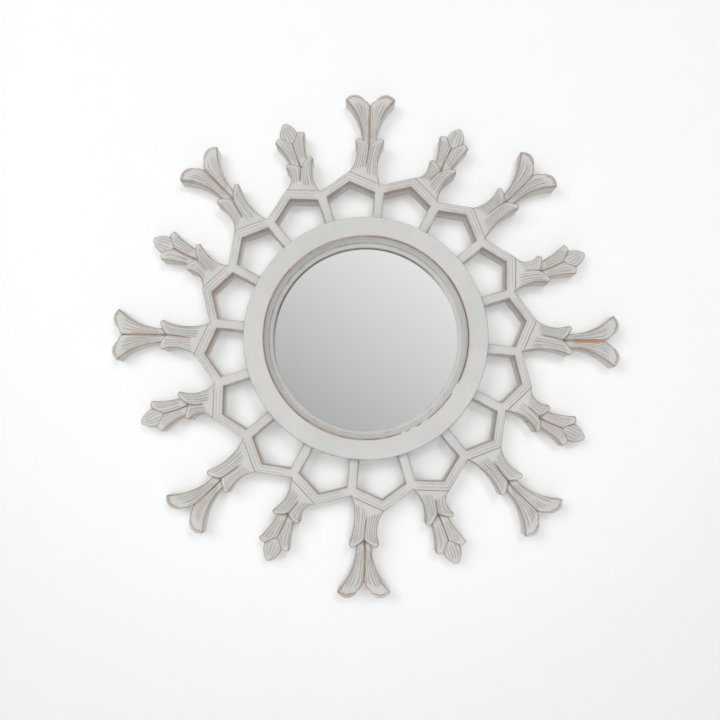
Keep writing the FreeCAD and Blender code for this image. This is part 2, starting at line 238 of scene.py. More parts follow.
def relief_points(loop, lines):
    """Outline points first, then rows along the edges and lines, then a wide grid."""
    run = np.roll(loop, -1, 0) - np.roll(loop, 1, 0)
    inward = np.stack((-run[:, 1], run[:, 0]), 1) / np.linalg.norm(run, axis=1)[:, None]
    rows = [loop + gap * inward for gap in EDGE_ROWS]
    for line in lines:
        path = resampled(line["path"], LINE_STEP)
        rows += [beside_path(path, side) for side in line.get("rows", LINE_ROWS)]
    rows = np.concatenate(rows)
    rows = rows[np.sort(np.unique(square_of(rows, LEAST_SPACING), return_index=True)[1])]
    (left, low), (right, high) = loop.min(0), loop.max(0)
    across, up = np.meshgrid(np.arange(left, right, GRID_STEP), np.arange(low, high, GRID_ROW_STEP))
    across = across + GRID_STEP / 2 * (np.arange(len(across)) % 2)[:, None]
    grid = np.stack((across.ravel(), up.ravel()), 1)
    grid = grid[~np.isin(square_of(grid, GRID_SPACING), square_of(rows, GRID_SPACING))]
    inner = np.concatenate((rows, grid))
    gap = distance_to(inner, loop, True)[0]
    return np.concatenate((loop, inner[(gap > EDGE_SPACING) & inside(inner, loop)]))


# %% The height and the marks of every point
RUB_REACH, RUB_TAIL, RUB_TAIL_REACH = 1.45, 0.3, 3.5
LINE_FADE, LEAST_SPREAD, GLAZE_AND_SHADE_SPREAD = (0.12, 0.12), 0.35, 0.55
PILLOW_REACH, UNFOLDED = 3.0, 40


def free_edge(points, loop, worn):
    """How far each point is from the nearest edge that isn't a joint, and how worn that edge is."""
    free = worn > 0
    starts, ends = loop[free], np.roll(loop, -1, 0)[free]
    reach, run = points[:, None] - starts, ends - starts
    share = np.clip((reach * run).sum(2) / (run * run).sum(1), 0, 1)
    gaps = np.linalg.norm(reach - share[..., None] * run, axis=2)
    return gaps.min(1), worn[free][gaps.argmin(1)]


def carved(points, edge, height, lines, angle, ease, bevel, pillow):
    """The depth of each point after carving, how rubbed it is, and how much glazing and painted shade it
    gets.
    """
    gap, wear = free_edge(points, *edge)
    depth = height(points) + hand_wobble(turned(points, angle))
    depth -= ease * (1 - np.sqrt(1 - np.clip(1 - gap / ease, 0, 1) ** 2))
    depth -= bevel[1] * np.clip(1 - gap / bevel[0], 0, 1)
    hollow, glaze_and_shade = gap.copy(), np.zeros(len(points))
    rubbed = wear * np.maximum(np.exp(-((gap / RUB_REACH) ** 2)), RUB_TAIL * np.exp(-gap / RUB_TAIL_REACH))
    for line in lines:
        away, segment, share = distance_to(points, line["path"])
        along = (segment + share) / (len(line["path"]) - 1)
        first, last = line.get("fade", LINE_FADE)
        strength = smooth(0, max(first, 1e-6), along) * smooth(0, max(last, 1e-6), 1 - along)
        spread = line["half"] * np.maximum(strength, line.get("least", LEAST_SPREAD))
        depth -= strength * line["deep"] * np.clip(1 - away / spread, 0, 1)
        glaze_and_shade = np.maximum(glaze_and_shade, strength * line["glaze_and_shade"] * np.exp(-((away / (GLAZE_AND_SHADE_SPREAD * spread)) ** 2)))
        beside_line = (away - spread) / line.get("wide", 1.0)
        rubbed = np.maximum(rubbed, line.get("rub", 0.0) * np.exp(-(beside_line**2)))
        if line.get("fold"):
            hollow = np.minimum(hollow, away + UNFOLDED * (1 - strength))
    depth -= pillow * np.exp(-hollow / PILLOW_REACH)
    return depth, rubbed, glaze_and_shade


# %% From points to a closed shell
WALL_ROWS = ((0.5, 0.95), (1.5, 0.5), (3.4, 0.0))
BACK_ROW = 1.0
CELL_WEAR, LEAF_WEAR, STRUT_WEAR = 0.9, 0.8, 0.55
# How dark the side walls are painted, partly glazing and partly painted shade: the walls of the cells get
# more, and most on the rays on the lower left.
WALL_GLAZE_AND_SHADE, CELL_GLAZE_AND_SHADE, CELL_SHADE_SWING, CELL_SHADE_SIDE = 0.45, 0.62, 0.09, 250


def mesh_object(name, vertices, faces, marks=None):
    """A mesh in metres, with a float attribute for each of the named marks."""
    mesh = bpy.data.meshes.new(name)
    mesh.from_pydata((np.asarray(vertices) * MM).tolist(), [], faces)
    for mark, values in (marks or {}).items():
        mesh.attributes.new(mark, "FLOAT", "POINT").data.foreach_set("value", np.asarray(values, np.float32))
    piece = bpy.data.objects.new(name, mesh)
    bpy.context.scene.collection.objects.link(piece)
    return piece


def triangulated(points, loop_count):
    """Triangles inside the outline that the first points make."""
    edges = [(i, (i + 1) % loop_count) for i in range(loop_count)]
    _, _, faces, sources, _, _ = delaunay_2d_cdt([Vector(p) for p in points], edges, [], 1, 1e-6)
    source = [ids[0] if ids else -1 for ids in sources]
    return [tuple(source[i] for i in face) for face in faces if all(source[i] >= 0 for i in face)]


def shell(name, edge, height, lines, angle, ease=0.6, bevel=(2.6, 0.8), pillow=0.8):
    """A carved piece: relief in front, walls, flat back, turned to its angle on the ring."""
    loop, worn = edge
    count = len(loop)
    points = relief_points(loop, lines)
    depth, rubbed, glaze_and_shade = carved(points, edge, height, lines, angle, ease, bevel, pillow)
    faces = triangulated(points, count)
    levels = [(depth[:count] - drop, share) for drop, share in WALL_ROWS]
    levels += [(np.full(count, BACK_ROW), 0.0), (np.zeros(count), 0.0)]
    joint_wear = np.maximum(worn, np.roll(worn, 1))
    rows, marks, upper = [np.column_stack((points, depth))], [rubbed], np.arange(count)
    for level, share in levels:
        lower = sum(len(row) for row in rows) + np.arange(count)
        rows.append(np.column_stack((loop, level)))
        marks.append(share * joint_wear)
        quads = np.stack((np.roll(upper, -1), upper, lower, np.roll(lower, -1)), 1)
        faces += [tuple(quad) for quad in quads.tolist()]
        upper = lower
    faces += [tuple(upper[i] for i in face[::-1]) for face in triangulated(loop, count)]
    # Painted shade on the side walls, stronger round the cells and on the lower left.
    cell_glaze_and_shade = CELL_GLAZE_AND_SHADE + CELL_SHADE_SWING * math.cos(math.radians(angle - CELL_SHADE_SIDE))
    walls = np.where(joint_wear == CELL_WEAR, cell_glaze_and_shade, WALL_GLAZE_AND_SHADE)
    glaze_and_shade = np.concatenate([glaze_and_shade] + [walls] * len(WALL_ROWS) + [np.zeros(2 * count)])
    shape = np.concatenate(rows)
    flat = turned(shape[:, :2], angle)
    place = np.column_stack((flat[:, 0], WALL_Y - shape[:, 2], flat[:, 1]))
    marks = {"rubbed": np.concatenate(marks), "glazed": glaze_and_shade, "carved": np.ones(len(shape))}
    return mesh_object(name, place, faces, marks)


# %% [markdown]
# ## Joining shells and cutting joints
# The flower grows out from under its calyx, so each is carved as its own shell and the two are joined by
# a boolean. The same tool cuts the slots for the keys and the holes for the dowels, as a joiner would.
# The points that it adds lie in the sharp corner under a leaf, and are marked for a dark painted shade there.

# %% Booleans
CORNER_SHADE, CRISP_ANGLE = 0.8, 42


def take_mesh(piece, mesh):
    """Gives a piece the plain mesh that its modifiers made."""
    piece.modifiers.clear()
    old, piece.data = piece.data, mesh
    bpy.data.meshes.remove(old)
    mesh.name = piece.name


def finished(piece, steps):
    """Joins and cuts a piece, and leaves it as a plain mesh with crisp edges."""
    for operation, other in steps:
        change = piece.modifiers.new(operation, "BOOLEAN")
        change.operation, change.solver, change.object = operation, "MANIFOLD", other
    graph = bpy.context.evaluated_depsgraph_get()
    made = piece.evaluated_get(graph)
    mesh = bpy.data.meshes.new_from_object(made, preserve_all_data_layers=True, depsgraph=graph)
    take_mesh(piece, mesh)
    for _, other in steps:
        bpy.data.meshes.remove(other.data)
    if "carved" in mesh.attributes:
        known, glazed = np.zeros((2, len(mesh.vertices)), np.float32)
        mesh.attributes["carved"].data.foreach_get("value", known)
        mesh.attributes["glazed"].data.foreach_get("value", glazed)
        # Painted shade: the points that the boolean adds in the corner under a leaf get a dark mark.
        glazed[known < 0.5] = CORNER_SHADE
        mesh.attributes["glazed"].data.foreach_set("value", glazed)
        mesh.attributes.remove(mesh.attributes["carved"])
    mesh.shade_smooth()
    mesh.set_sharp_from_angle(angle=math.radians(CRISP_ANGLE))


# %% Plain prisms and rods
def prism(loop, back, front):
    """A front-view outline given thickness, as vertices and faces."""
    count = len(loop)
    rims = [
        np.column_stack((loop[:, 0], np.full(count, WALL_Y - depth), loop[:, 1])) for depth in (back, front)
    ]
    caps = [tuple(range(count))[::-1], tuple(range(count, 2 * count))]
    sides = [(count + (i + 1) % count, count + i, i, (i + 1) % count) for i in range(count)]
    return np.concatenate(rims), caps + sides


def stadium(centre, direction, length, width):
    """A bar with round ends, as an outline."""
    half, steps = width / 2, np.radians(np.linspace(-90, 90, 13))
    cap = np.stack((length / 2 - half + half * np.cos(steps), half * np.sin(steps)), 1)
    loop = np.concatenate((cap, -cap))
    along = np.asarray(direction, float)
    return centre + loop[:, :1] * along + loop[:, 1:] * np.array((-along[1], along[0]))


def rod(start, end, radius, count=24):
    """A round bar between two points in space."""
    axis = (end - start) / np.linalg.norm(end - start)
    side = np.cross(axis, (0, 1, 0) if abs(axis[1]) < 0.9 else (1, 0, 0))
    side /= np.linalg.norm(side)
    turn = np.linspace(0, 2 * math.pi, count, endpoint=False)[:, None]
    rim = radius * (np.cos(turn) * side + np.sin(turn) * np.cross(axis, side))
    sides = [(i, (i + 1) % count, count + (i + 1) % count, count + i) for i in range(count)]
    caps = [tuple(range(count))[::-1], tuple(range(count, 2 * count))]
    return np.concatenate((start + rim, end + rim)), caps + sides


def together(name, shapes):
    """Several vertex and face lists as one object."""
    vertices, faces = [], []
    for points, parts in shapes:
        base = sum(len(v) for v in vertices)
        vertices.append(points)
        faces += [tuple(base + i for i in face) for face in parts]
    return mesh_object(name, np.concatenate(vertices), faces)


# %% Slots for keys and holes for dowels
KEY_LENGTH, KEY_WIDTH, KEY_DEPTH = 15.0, 5.0, 10.0
DOWEL_RADIUS, DOWEL_REACH, DOWEL_DEPTH = 3.0, 15.6, 15.0
BEHIND = -1.0


def key_slot(angle):
    """The slot for the key between a ray and the ray before it."""
    band = (apex - far_junction) / np.linalg.norm(apex - far_junction)
    loop = stadium((far_junction + far_corner) / 2, band, KEY_LENGTH + 2 * GLUE, KEY_WIDTH + 2 * GLUE)
    return prism(turned(loop, angle), BEHIND, KEY_DEPTH + GLUE)


def dowel_hole(angle):
    """The hole for a dowel, from the ring into a ray's strut."""
    ends = [polar(RING_RADIUS + side * DOWEL_REACH, STRUT_ANGLE + angle) for side in (-1, 1)]
    return rod(*[np.array((s, WALL_Y - DOWEL_DEPTH, r)) for s, r in ends], DOWEL_RADIUS + GLUE)


# %% [markdown]
# ## The fret and the calyx
# Strut, two bands and the leafy cup are one shell. The bands have two fine lines along them, which turn
# the corner at the apex and fade towards the junctions. The cup rises from just behind the bands to its
# tips, with a fold down its middle and a few flutes on each leaf.

# %% The lines of a leaf
PATH_STEP, FLUTE_STEPS = 1.5, 24
FLUTE = {"half": 1.45, "glaze_and_shade": 0.6, "fade": (0.15, 0.15)}
CUP = {"half": 6.0, "deep": 0.0, "fade": (0.3, 0.3)}
# how dark the painted shade under the cup's tips is, and how much darker it is on rays that point down
CUP_SHADE, CUP_SHADE_SWING = 0.7, 0.25


def straight(up):
    """No lean at any height, for what is turned as a whole."""
    return 0 * np.asarray(up, float)


def flute(inner, outer, share, low, high, lean, deep, rng):
    """A shallow line between a leaf's inner and outer edge, from low to high along the ray."""
    up = np.linspace(low, high, FLUTE_STEPS)
    drift = rng.uniform(-0.05, 0.05)
    share = share + drift + 0.02 * np.sin(np.linspace(0, 3, FLUTE_STEPS) + rng.uniform(0, 6))
    across = inner(up) * (1 - share) + outer(up) * share
    path = turned(np.stack((across, up), 1), lean(up))
    return {"path": path, "deep": deep * rng.uniform(0.75, 1.25), **FLUTE}


def fold(foot, head, lean, rng, deep=1.5, fade=(0.0, 0.0)):
    """The crease between two leaves or petals, where the glazing is dark."""
    bend = rng.choice((-1, 1)) * rng.uniform(0.4, 1.1)
    path = resampled(np.vstack((foot, arc_points(foot, bowed(foot, head, bend), head))), PATH_STEP)
    path = turned(path, lean(path[:, 1]))
    half, glaze_and_shade = rng.uniform(1.6, 2.8), rng.uniform(0.68, 1.2)
    return {"path": path, "half": half, "deep": deep, "glaze_and_shade": glaze_and_shade, "fade": fade, "fold": True}


def cup_shade(tip, notch, angle):
    """Painted shade on a flower where it comes out from under its cup of leaves, darker on the rays that
    point down.
    """
    half = CALYX_HALF - CALYX_ROUND
    path = resampled(np.array(((-half, tip), (0, tip - notch), (half, tip))), PATH_STEP)
    return {"path": path, "glaze_and_shade": CUP_SHADE - CUP_SHADE_SWING * math.cos(math.radians(angle)), **CUP}


def rubbed_line(low, high, rub, wide):
    """A stretch of a crease where the paint is rubbed through."""
    path = np.array(((0.0, low), (0.0, high)))
    return {"path": path, "half": 0.01, "deep": 0.0, "glaze_and_shade": 0.0, "rub": rub, "wide": wide}


def edge_of(points):
    """How far across an edge lies, as a function of the height along the ray."""
    order = points[:, 1].argsort()
    return lambda up: np.interp(up, points[order, 1], points[order, 0])


# %% The calyx with its piece of fret
CALYX_LEFT, CALYX_RIGHT, CALYX_HALF, CALYX_ROUND = 16.2, 11.4, 17.5, 3.8
CALYX_ROOT_DEPTH, CALYX_TIP_DEPTH = 23.0, 27.0
CALYX_TIP_BOW, CALYX_CLEFT_BOW = 0.8, 1.0
CALYX_FLUTES = ((0.2, 0.35), (0.41, 0.65), (0.62, 0.85), (0.82, 0.9))
CALYX_FLUTE_DEPTH = 1.2
LEFT_FEET, RIGHT_FEET = (4, -6), (-4, -8)
CREASE_SIDE, CREASE_DROP, CREASE_FADE, LEAF_RISE = -5.0, 1.5, (0.4, 0.0), (-0.1, 0.9)
BAND_LINE = {"half": 1.0, "deep": 0.8, "glaze_and_shade": 0.5, "fade": (0.12, 0.12)}
BAND_LINE_PLACES = (3.3, 7.4)
LEAF_ROOT_LINE = {"half": 1.3, "deep": 0.5, "glaze_and_shade": 0.9, "fade": (0.0, 0.12)}
LEAF_ROOT_STEP = 0.4


def strut_foot(side):
    radius, half = RING_RADIUS + GLUE, STRUT_WIDTH / 2
    return turned((side * half, math.sqrt(radius**2 - half**2)), STRUT_ANGLE)


def band_lines():
    """Two fine lines that follow both bands around the apex."""
    found = []
    for distance in BAND_LINE_PLACES:
        far, near = beside(far_junction, apex, distance), beside(apex, junction, distance)
        corner = meet(far, near)
        path = np.concatenate((line_points(far[0], corner), line_points(corner, near[1])))
        found.append({"path": path, **BAND_LINE})
    return found


def calyx(name, length, notch, lean, angle, rng):
    """Strut, bands and the cup of leaves."""
    tip, waist = JUNCTION_RADIUS + length, JUNCTION_RADIUS + length / 2
    low_tip, inner_half, notch_up = tip - CALYX_ROUND, CALYX_HALF - CALYX_ROUND, tip - notch
    sway = lambda up: lean * np.clip((np.asarray(up) - JUNCTION_RADIUS) / length, 0, 1)
    left = [turned((-CALYX_LEFT, waist), lean / 2), turned((-CALYX_HALF, low_tip), lean)]
    right = [turned((CALYX_RIGHT, waist), lean / 2), turned((CALYX_HALF, low_tip), lean)]
    left_tip, right_tip = turned((-inner_half, tip), lean), turned((inner_half, tip), lean)
    cleft = turned((0, notch_up), lean)
    edge = outline(
        strut_foot(-1),
        [
            (STRUT_WEAR, near_corner),
            (CELL_WEAR, inner_apex),
            (CELL_WEAR, far_corner),
            (0, far_junction),
            (STRUT_WEAR, apex),
            (LEAF_WEAR, *left),
            (LEAF_WEAR, bowed(left[1], left_tip, CALYX_TIP_BOW), left_tip),
            (LEAF_WEAR, bowed(left_tip, cleft, CALYX_CLEFT_BOW), cleft),
            (LEAF_WEAR, bowed(cleft, right_tip, CALYX_CLEFT_BOW), right_tip),
            (LEAF_WEAR, bowed(right_tip, right[1], CALYX_TIP_BOW), right[1]),
            (LEAF_WEAR, right[0], junction),
            (0, joint_corner),
            (STRUT_WEAR, strut_foot(1)),
            (0, polar(RING_RADIUS + GLUE, STRUT_ANGLE), strut_foot(-1)),
        ],
    )
    run = (junction - apex) / np.linalg.norm(junction - apex)
    leafward = np.array((-run[1], run[0]))

    def height(points):
        rise = (CALYX_TIP_DEPTH - CALYX_ROOT_DEPTH) * (points[:, 1] - JUNCTION_RADIUS) / length
        on_leaf = smooth(*LEAF_RISE, (points - apex) @ leafward)
        return FRET_DEPTH * (1 - on_leaf) + (CALYX_ROOT_DEPTH + rise) * on_leaf

    outer_left, outer_right = (
        edge_of(np.vstack((root, arc_points(root, (side, waist), (tip_side, low_tip)))))
        for root, side, tip_side in ((apex, -CALYX_LEFT, -CALYX_HALF), (junction, CALYX_RIGHT, CALYX_HALF))
    )
    crease_foot = (CREASE_SIDE + rng.uniform(-1, 1), apex[1] - CREASE_DROP)
    crease = lambda up: np.interp(up, (crease_foot[1], notch_up), (crease_foot[0], 0))
    spread = lambda up: inner_half * np.clip((up - notch_up) / notch, 0, 1)
    lines = band_lines()
    lines.append(fold(crease_foot, (0, notch_up), sway, rng, fade=CREASE_FADE))
    root = resampled(np.vstack((apex, junction)) + LEAF_ROOT_STEP * leafward, PATH_STEP)
    lines.append({"path": root, **LEAF_ROOT_LINE})
    for share, high in CALYX_FLUTES:
        top = notch_up + notch * high
        for hand, outer, (foot, slope) in ((-1, outer_left, LEFT_FEET), (1, outer_right, RIGHT_FEET)):
            inner = lambda up: crease(up) + hand * spread(up)
            low = apex[1] + foot + slope * share
            lines.append(flute(inner, outer, share, low, top, sway, CALYX_FLUTE_DEPTH, rng))
    return shell(name, edge, height, lines, angle)


# %% [markdown]
# ## The flowers
# A long ray ends in an open tulip with two flaring lobes, and a short one in a second pair of leaves
# around a closed bud. Each lobe has five flutes that spread with it, and its end rolls over. The rays
# were carved by hand, so each leans a little, in degrees, and its notches are deeper or shallower than
# its neighbours'.

# %% How every flower was carved
FLOWER_WAIST_DEPTH, FLOWER_TIP_DEPTH = 18.0, 23.5
TULIP_CALYX, BUD_CALYX, BRACT_REACH = 58.0, 45.0, 34.5
# the lean, and how deep the notches of the calyx and of the flower are
TULIP_CARVING = (
    (0.6, 9.1, 7.7),
    (0.0, 10.0, 10.0),
    (0.3, 11.3, 12.0),
    (0.0, 9.5, 10.0),
    (0.0, 9.4, 11.5),
    (0.0, 8.8, 15.0),
    (0.2, 8.5, 4.2),
    (0.8, 12.5, 10.3),
)
# the lean, and how deep the notch of the calyx is
BUD_CARVING = (
    (1.2, 9.5),
    (0.8, 9.0),
    (1.8, 7.8),
    (0.0, 10.2),
    (0.8, 7.4),
    (1.2, 9.0),
    (2.1, 9.0),
    (1.3, 10.0),
)


def both_sides(*places):
    """Each place on the left and on the right of a flower's middle."""
    return [np.array(((-across, up), (across, up))) for across, up in places]


def rising(low_up, high_up):
    """The height of a flower's front, rising from its waist to its tips."""
    slope = (FLOWER_TIP_DEPTH - FLOWER_WAIST_DEPTH) / (high_up - low_up)
    return lambda points: FLOWER_WAIST_DEPTH + slope * (points[:, 1] - low_up)


# %% Tulip
TULIP_REACH, TULIP_ROOT = 50.5, 18.0
TULIP_ROOT_HALF, TULIP_SWELL_HALF, TULIP_TIP_HALF = 9.8, 14.2, 30.5
TULIP_SWELL_DROP, TULIP_CROWN_HALF, TULIP_CROWN_RISE = 24.5, 19.0, 6.4
TULIP_CLEFT_HALF, TULIP_CLEFT_DROP, TULIP_CLEFT_BOW = 7.5, 0.12, 0.9
TULIP_FLUTES = ((0.16, 12, 7), (0.34, 13, 2.5), (0.52, 14, 1), (0.7, 16, 1.5), (0.87, 20, 5))
TULIP_FLUTE_DEPTH, TULIP_FOLD_DEPTH = 1.3, 1.7
CROWN_WEAR, CLEFT_WEAR = 0.55, 1.0
ROLL = {"half": 3.6, "deep": 1.1, "glaze_and_shade": 0.0, "rub": 0.85, "fade": (0.26, 0.12), "least": 0.02}
ROLL_ROWS = (-4.4, -3.8, -3.2, -2.2, 2.2, 3.2, 3.8, 4.4)


def tulip(name, lean, notches, angle, rng, rubbed=()):
    """The open flower, with a crease from its notch down to the calyx."""
    cup_notch, deep = notches
    start = JUNCTION_RADIUS + TULIP_CALYX - TULIP_ROOT
    tip = JUNCTION_RADIUS + TULIP_CALYX + TULIP_REACH
    notch = (0, tip - deep)
    root, swell, end, crown, inner = both_sides(
        (TULIP_ROOT_HALF, start),
        (TULIP_SWELL_HALF, tip - TULIP_SWELL_DROP),
        (TULIP_TIP_HALF, tip),
        (TULIP_CROWN_HALF, tip + TULIP_CROWN_RISE),
        (TULIP_CLEFT_HALF, tip - TULIP_CLEFT_DROP * deep),
    )
    edge = outline(
        root[0],
        [
            (LEAF_WEAR, swell[0], end[0]),
            (CROWN_WEAR, crown[0], inner[0]),
            (CLEFT_WEAR, bowed(inner[0], notch, TULIP_CLEFT_BOW), notch),
            (CLEFT_WEAR, bowed(notch, inner[1], TULIP_CLEFT_BOW), inner[1]),
            (CROWN_WEAR, crown[1], end[1]),
            (LEAF_WEAR, swell[1], root[1]),
            (0, root[0]),
        ],
    )
    outer = edge_of(np.vstack((root[1], arc_points(root[1], swell[1], end[1]))))
    split = lambda up: np.interp(up, (notch[1], inner[1][1]), (0, TULIP_CLEFT_HALF))
    lines = [fold((0, start), notch, straight, rng, TULIP_FOLD_DEPTH)]
    lines.append(cup_shade(JUNCTION_RADIUS + TULIP_CALYX, cup_notch, angle))
    if rubbed:
        lines.append(rubbed_line(tip - rubbed[0], tip - rubbed[1], *rubbed[2:]))
    for hand in (0, 1):
        path = np.vstack((inner[hand], arc_points(inner[hand], crown[hand], end[hand])))
        lines.append({"path": path, "rows": ROLL_ROWS, **ROLL})
    for share, low, high in TULIP_FLUTES:
        for hand in (-1, 1):
            foot = start + low * rng.uniform(0.9, 1.25)
            head = tip - high * rng.uniform(0.5, 1.5)
            between = (lambda up: hand * split(up)), (lambda up: hand * outer(up))
            lines.append(flute(*between, share, foot, head, straight, TULIP_FLUTE_DEPTH, rng))
    return shell(name, edge, rising(start, tip), lines, angle + lean)


# %% Bracts
BRACT_ROOT, BRACT_ROOT_HALF, BRACT_SWELL_HALF, BRACT_SWELL_DROP = 17.0, 10.6, 12.2, 24.0
BRACT_CORNER_HALF, BRACT_CORNER_DROP, BRACT_TIP_HALF, BRACT_NOTCH = 19.0, 3.0, 10.5, 10.0
BRACT_TIP_BOW, BRACT_CLEFT_BOW = 1.1, -0.6
BRACT_FLUTES = ((0.22, 5), (0.44, 3), (0.64, 3), (0.83, 5))
BRACT_FLUTE_DEPTH, BRACT_FLUTE_START = 1.2, 14


def bracts(name, lean, cup_notch, angle, rng):
    """The second pair of leaves on a short ray, with blunt tips."""
    start = JUNCTION_RADIUS + BUD_CALYX - BRACT_ROOT
    tip = JUNCTION_RADIUS + BUD_CALYX + BRACT_REACH
    notch = (0, tip - BRACT_NOTCH)
    root, swell, corner, end = both_sides(
        (BRACT_ROOT_HALF, start),
        (BRACT_SWELL_HALF, tip - BRACT_SWELL_DROP),
        (BRACT_CORNER_HALF, tip - BRACT_CORNER_DROP),
        (BRACT_TIP_HALF, tip),
    )
    edge = outline(
        root[0],
        [
            (LEAF_WEAR, swell[0], corner[0]),
            (LEAF_WEAR, bowed(corner[0], end[0], BRACT_TIP_BOW), end[0]),
            (CLEFT_WEAR, bowed(end[0], notch, BRACT_CLEFT_BOW), notch),
            (CLEFT_WEAR, bowed(notch, end[1], BRACT_CLEFT_BOW), end[1]),
            (LEAF_WEAR, bowed(end[1], corner[1], BRACT_TIP_BOW), corner[1]),
            (LEAF_WEAR, swell[1], root[1]),
            (0, root[0]),
        ],
    )
    outer = edge_of(np.vstack((root[1], arc_points(root[1], swell[1], corner[1]))))
    split = lambda up: np.interp(up, (notch[1], tip), (0, BRACT_TIP_HALF))
    lines = [fold((0, start), notch, straight, rng)]
    lines.append(cup_shade(JUNCTION_RADIUS + BUD_CALYX, cup_notch, angle))
    for share, high in BRACT_FLUTES:
        for hand in (-1, 1):
            low = start + BRACT_FLUTE_START + rng.uniform(0, 4)
            between = (lambda up: hand * split(up)), (lambda up: hand * outer(up))
            lines.append(flute(*between, share, low, tip - high, straight, BRACT_FLUTE_DEPTH, rng))
    return shell(name, edge, rising(start, tip), lines, angle + lean, bevel=(2.2, 0.6), pillow=0.5)


# %% Bud
BUD_START, BUD_LENGTH, BUD_HALF, BUD_SHOULDER_HALF, BUD_SHOULDER_DROP = 18.0, 36.5, 10.8, 4.2, 2.6
BUD_RIM_DEPTH, BUD_DOME, BUD_DOME_REACH, BUD_TIP_WEAR = 16.4, 4.0, 7.0, 0.75
BUD_FLUTES, BUD_FLUTE_DEPTH, BUD_FLUTE_HALF = (-0.6, -0.2, 0.2, 0.6), 1.0, 9.8
BUD_FLUTE_DRIFT, BUD_FLUTE_LOW, BUD_FLUTE_HIGH = 4, 7, 5


def bud(name, lean, angle, rng):
    """The closed bud between the bracts, a long dome with slanting flutes."""
    start = JUNCTION_RADIUS + BUD_CALYX + BRACT_REACH - BUD_START
    end = start + BUD_LENGTH
    middle, shoulder = (start + end) / 2, end - BUD_SHOULDER_DROP
    edge = outline(
        (0, start),
        [
            (LEAF_WEAR, (-BUD_HALF, middle), (-BUD_SHOULDER_HALF, shoulder)),
            (BUD_TIP_WEAR, (0, end), (BUD_SHOULDER_HALF, shoulder)),
            (LEAF_WEAR, (BUD_HALF, middle), (0, start)),
        ],
    )

    def height(points):
        share = np.clip(distance_to(points, edge[0], True)[0] / BUD_DOME_REACH, 0, 1)
        return BUD_RIM_DEPTH + BUD_DOME * np.sqrt(1 - (1 - share) ** 2)

    slant = rng.choice((-1, 1)) * rng.uniform(0.2, 0.5)
    tilt = lambda up: slant * (up - middle) / (end - middle)
    half = lambda up: BUD_FLUTE_HALF * np.sqrt(np.clip(1 - ((up - middle) / (middle - start)) ** 2, 0, 1))
    between = (lambda up: BUD_FLUTE_DRIFT * tilt(up)), (lambda up: half(up) * (1 + tilt(up)))
    lines = []
    for share in BUD_FLUTES:
        low = middle - BUD_FLUTE_LOW + rng.uniform(-2, 2)
        high = end - BUD_FLUTE_HIGH + rng.uniform(-1, 1)
        lines.append(flute(*between, share, low, high, straight, BUD_FLUTE_DEPTH, rng))
    return shell(name, edge, height, lines, angle + lean, bevel=(1.0, 0.2), pillow=0.3)


# %% All sixteen rays
FIRST_SEED = 100
# where a crease is rubbed, from and to below the tips, how strongly and how widely
RUBBED_CREASES = {0: (46, 12, 1.3, 1.0), 2: (44, 19, 2.0, 1.7), 6: (44, 11, 1.4, 1.2), 7: (44, 10, 1.2, 1.0)}


def joints(angle):
    """The slots for a ray's two keys and the hole for its dowel, to be cut from it."""
    return together("joints", [key_slot(angle), key_slot(angle + RAY_STEP), dowel_hole(angle)])


rays = []
for index in range(8):
    rng = np.random.default_rng(FIRST_SEED + index)
    angle = 2 * RAY_STEP * index
    lean, notch, bloom_notch = TULIP_CARVING[index]
    ray = calyx(f"carved_tulip_ray_{index + 1}", TULIP_CALYX, notch, lean, angle, rng)
    flower = tulip("flower", lean, (notch, bloom_notch), angle, rng, RUBBED_CREASES.get(index, ()))
    finished(ray, [("UNION", flower), ("DIFFERENCE", joints(angle))])
    rays.append((ray, f"tulip_ray_{index + 1}"))

    angle += RAY_STEP
    lean, notch = BUD_CARVING[index]
    ray = calyx(f"carved_bud_ray_{index + 1}", BUD_CALYX, notch, lean, angle, rng)
    leaves, closed = bracts("leaves", lean, notch, angle, rng), bud("closed", lean, angle, rng)
    finished(ray, [("UNION", leaves), ("UNION", closed), ("DIFFERENCE", joints(angle))])
    rays.append((ray, f"bud_ray_{index + 1}"))
print("rays carved:", len(rays), "faces in the first:", len(rays[0][0].data.polygons))

# %% [markdown]
# ## Nodes as sums
# The ring, the screws and every finish are node trees. One small class adds nodes to a tree, and another
# wraps a socket so that `1 - mask` or `noise * 0.4` can be written as a sum: each sum adds its own Math
# node. That keeps a tree readable from top to bottom, which a long list of new nodes and links isn't.

# %% A bench for node trees
class Link:
    """An output socket that takes part in Python sums."""

    def __init__(self, bench, socket):
        self.bench, self.socket = bench, socket

    def sum(self, operation, *values):
        return self.bench.node("ShaderNodeMath", {"operation": operation}, dict(enumerate(values)))

    def __add__(self, other):
        return self.sum("ADD", self, other)

    def __sub__(self, other):
        return self.sum("SUBTRACT", self, other)

    def __rsub__(self, other):
        return self.sum("SUBTRACT", other, self)

    def __mul__(self, other):
        return self.sum("MULTIPLY", self, other)

    __radd__, __rmul__ = __add__, __mul__


class Bench:
    """A node tree, and the one method that adds nodes to it."""

    def __init__(self, tree):
        self.tree = tree
        tree.nodes.clear()

    def node(self, kind, settings=None, sockets=None, output=0):
        made = self.tree.nodes.new(kind)
        for name, value in (settings or {}).items():
            setattr(made, name, value)
        for key, value in (sockets or {}).items():
            if isinstance(value, Link):
                self.tree.links.new(value.socket, made.inputs[key])
            else:
                made.inputs[key].default_value = value
        return Link(self, made.outputs[output]) if made.outputs else made

    def step(self, value, low, high):
        """0 below low and 1 above high, with a soft step between them."""
        ends = {"Value": value, "From Min": low, "From Max": high}
        return self.node("ShaderNodeMapRange", {"interpolation_type": "SMOOTHSTEP"}, ends)

    def mix(self, share, first, second):
        """Two colours, mixed by a share."""
        return self.node("ShaderNodeMix", {"data_type": "RGBA"}, {0: share, 6: first, 7: second}, 2)


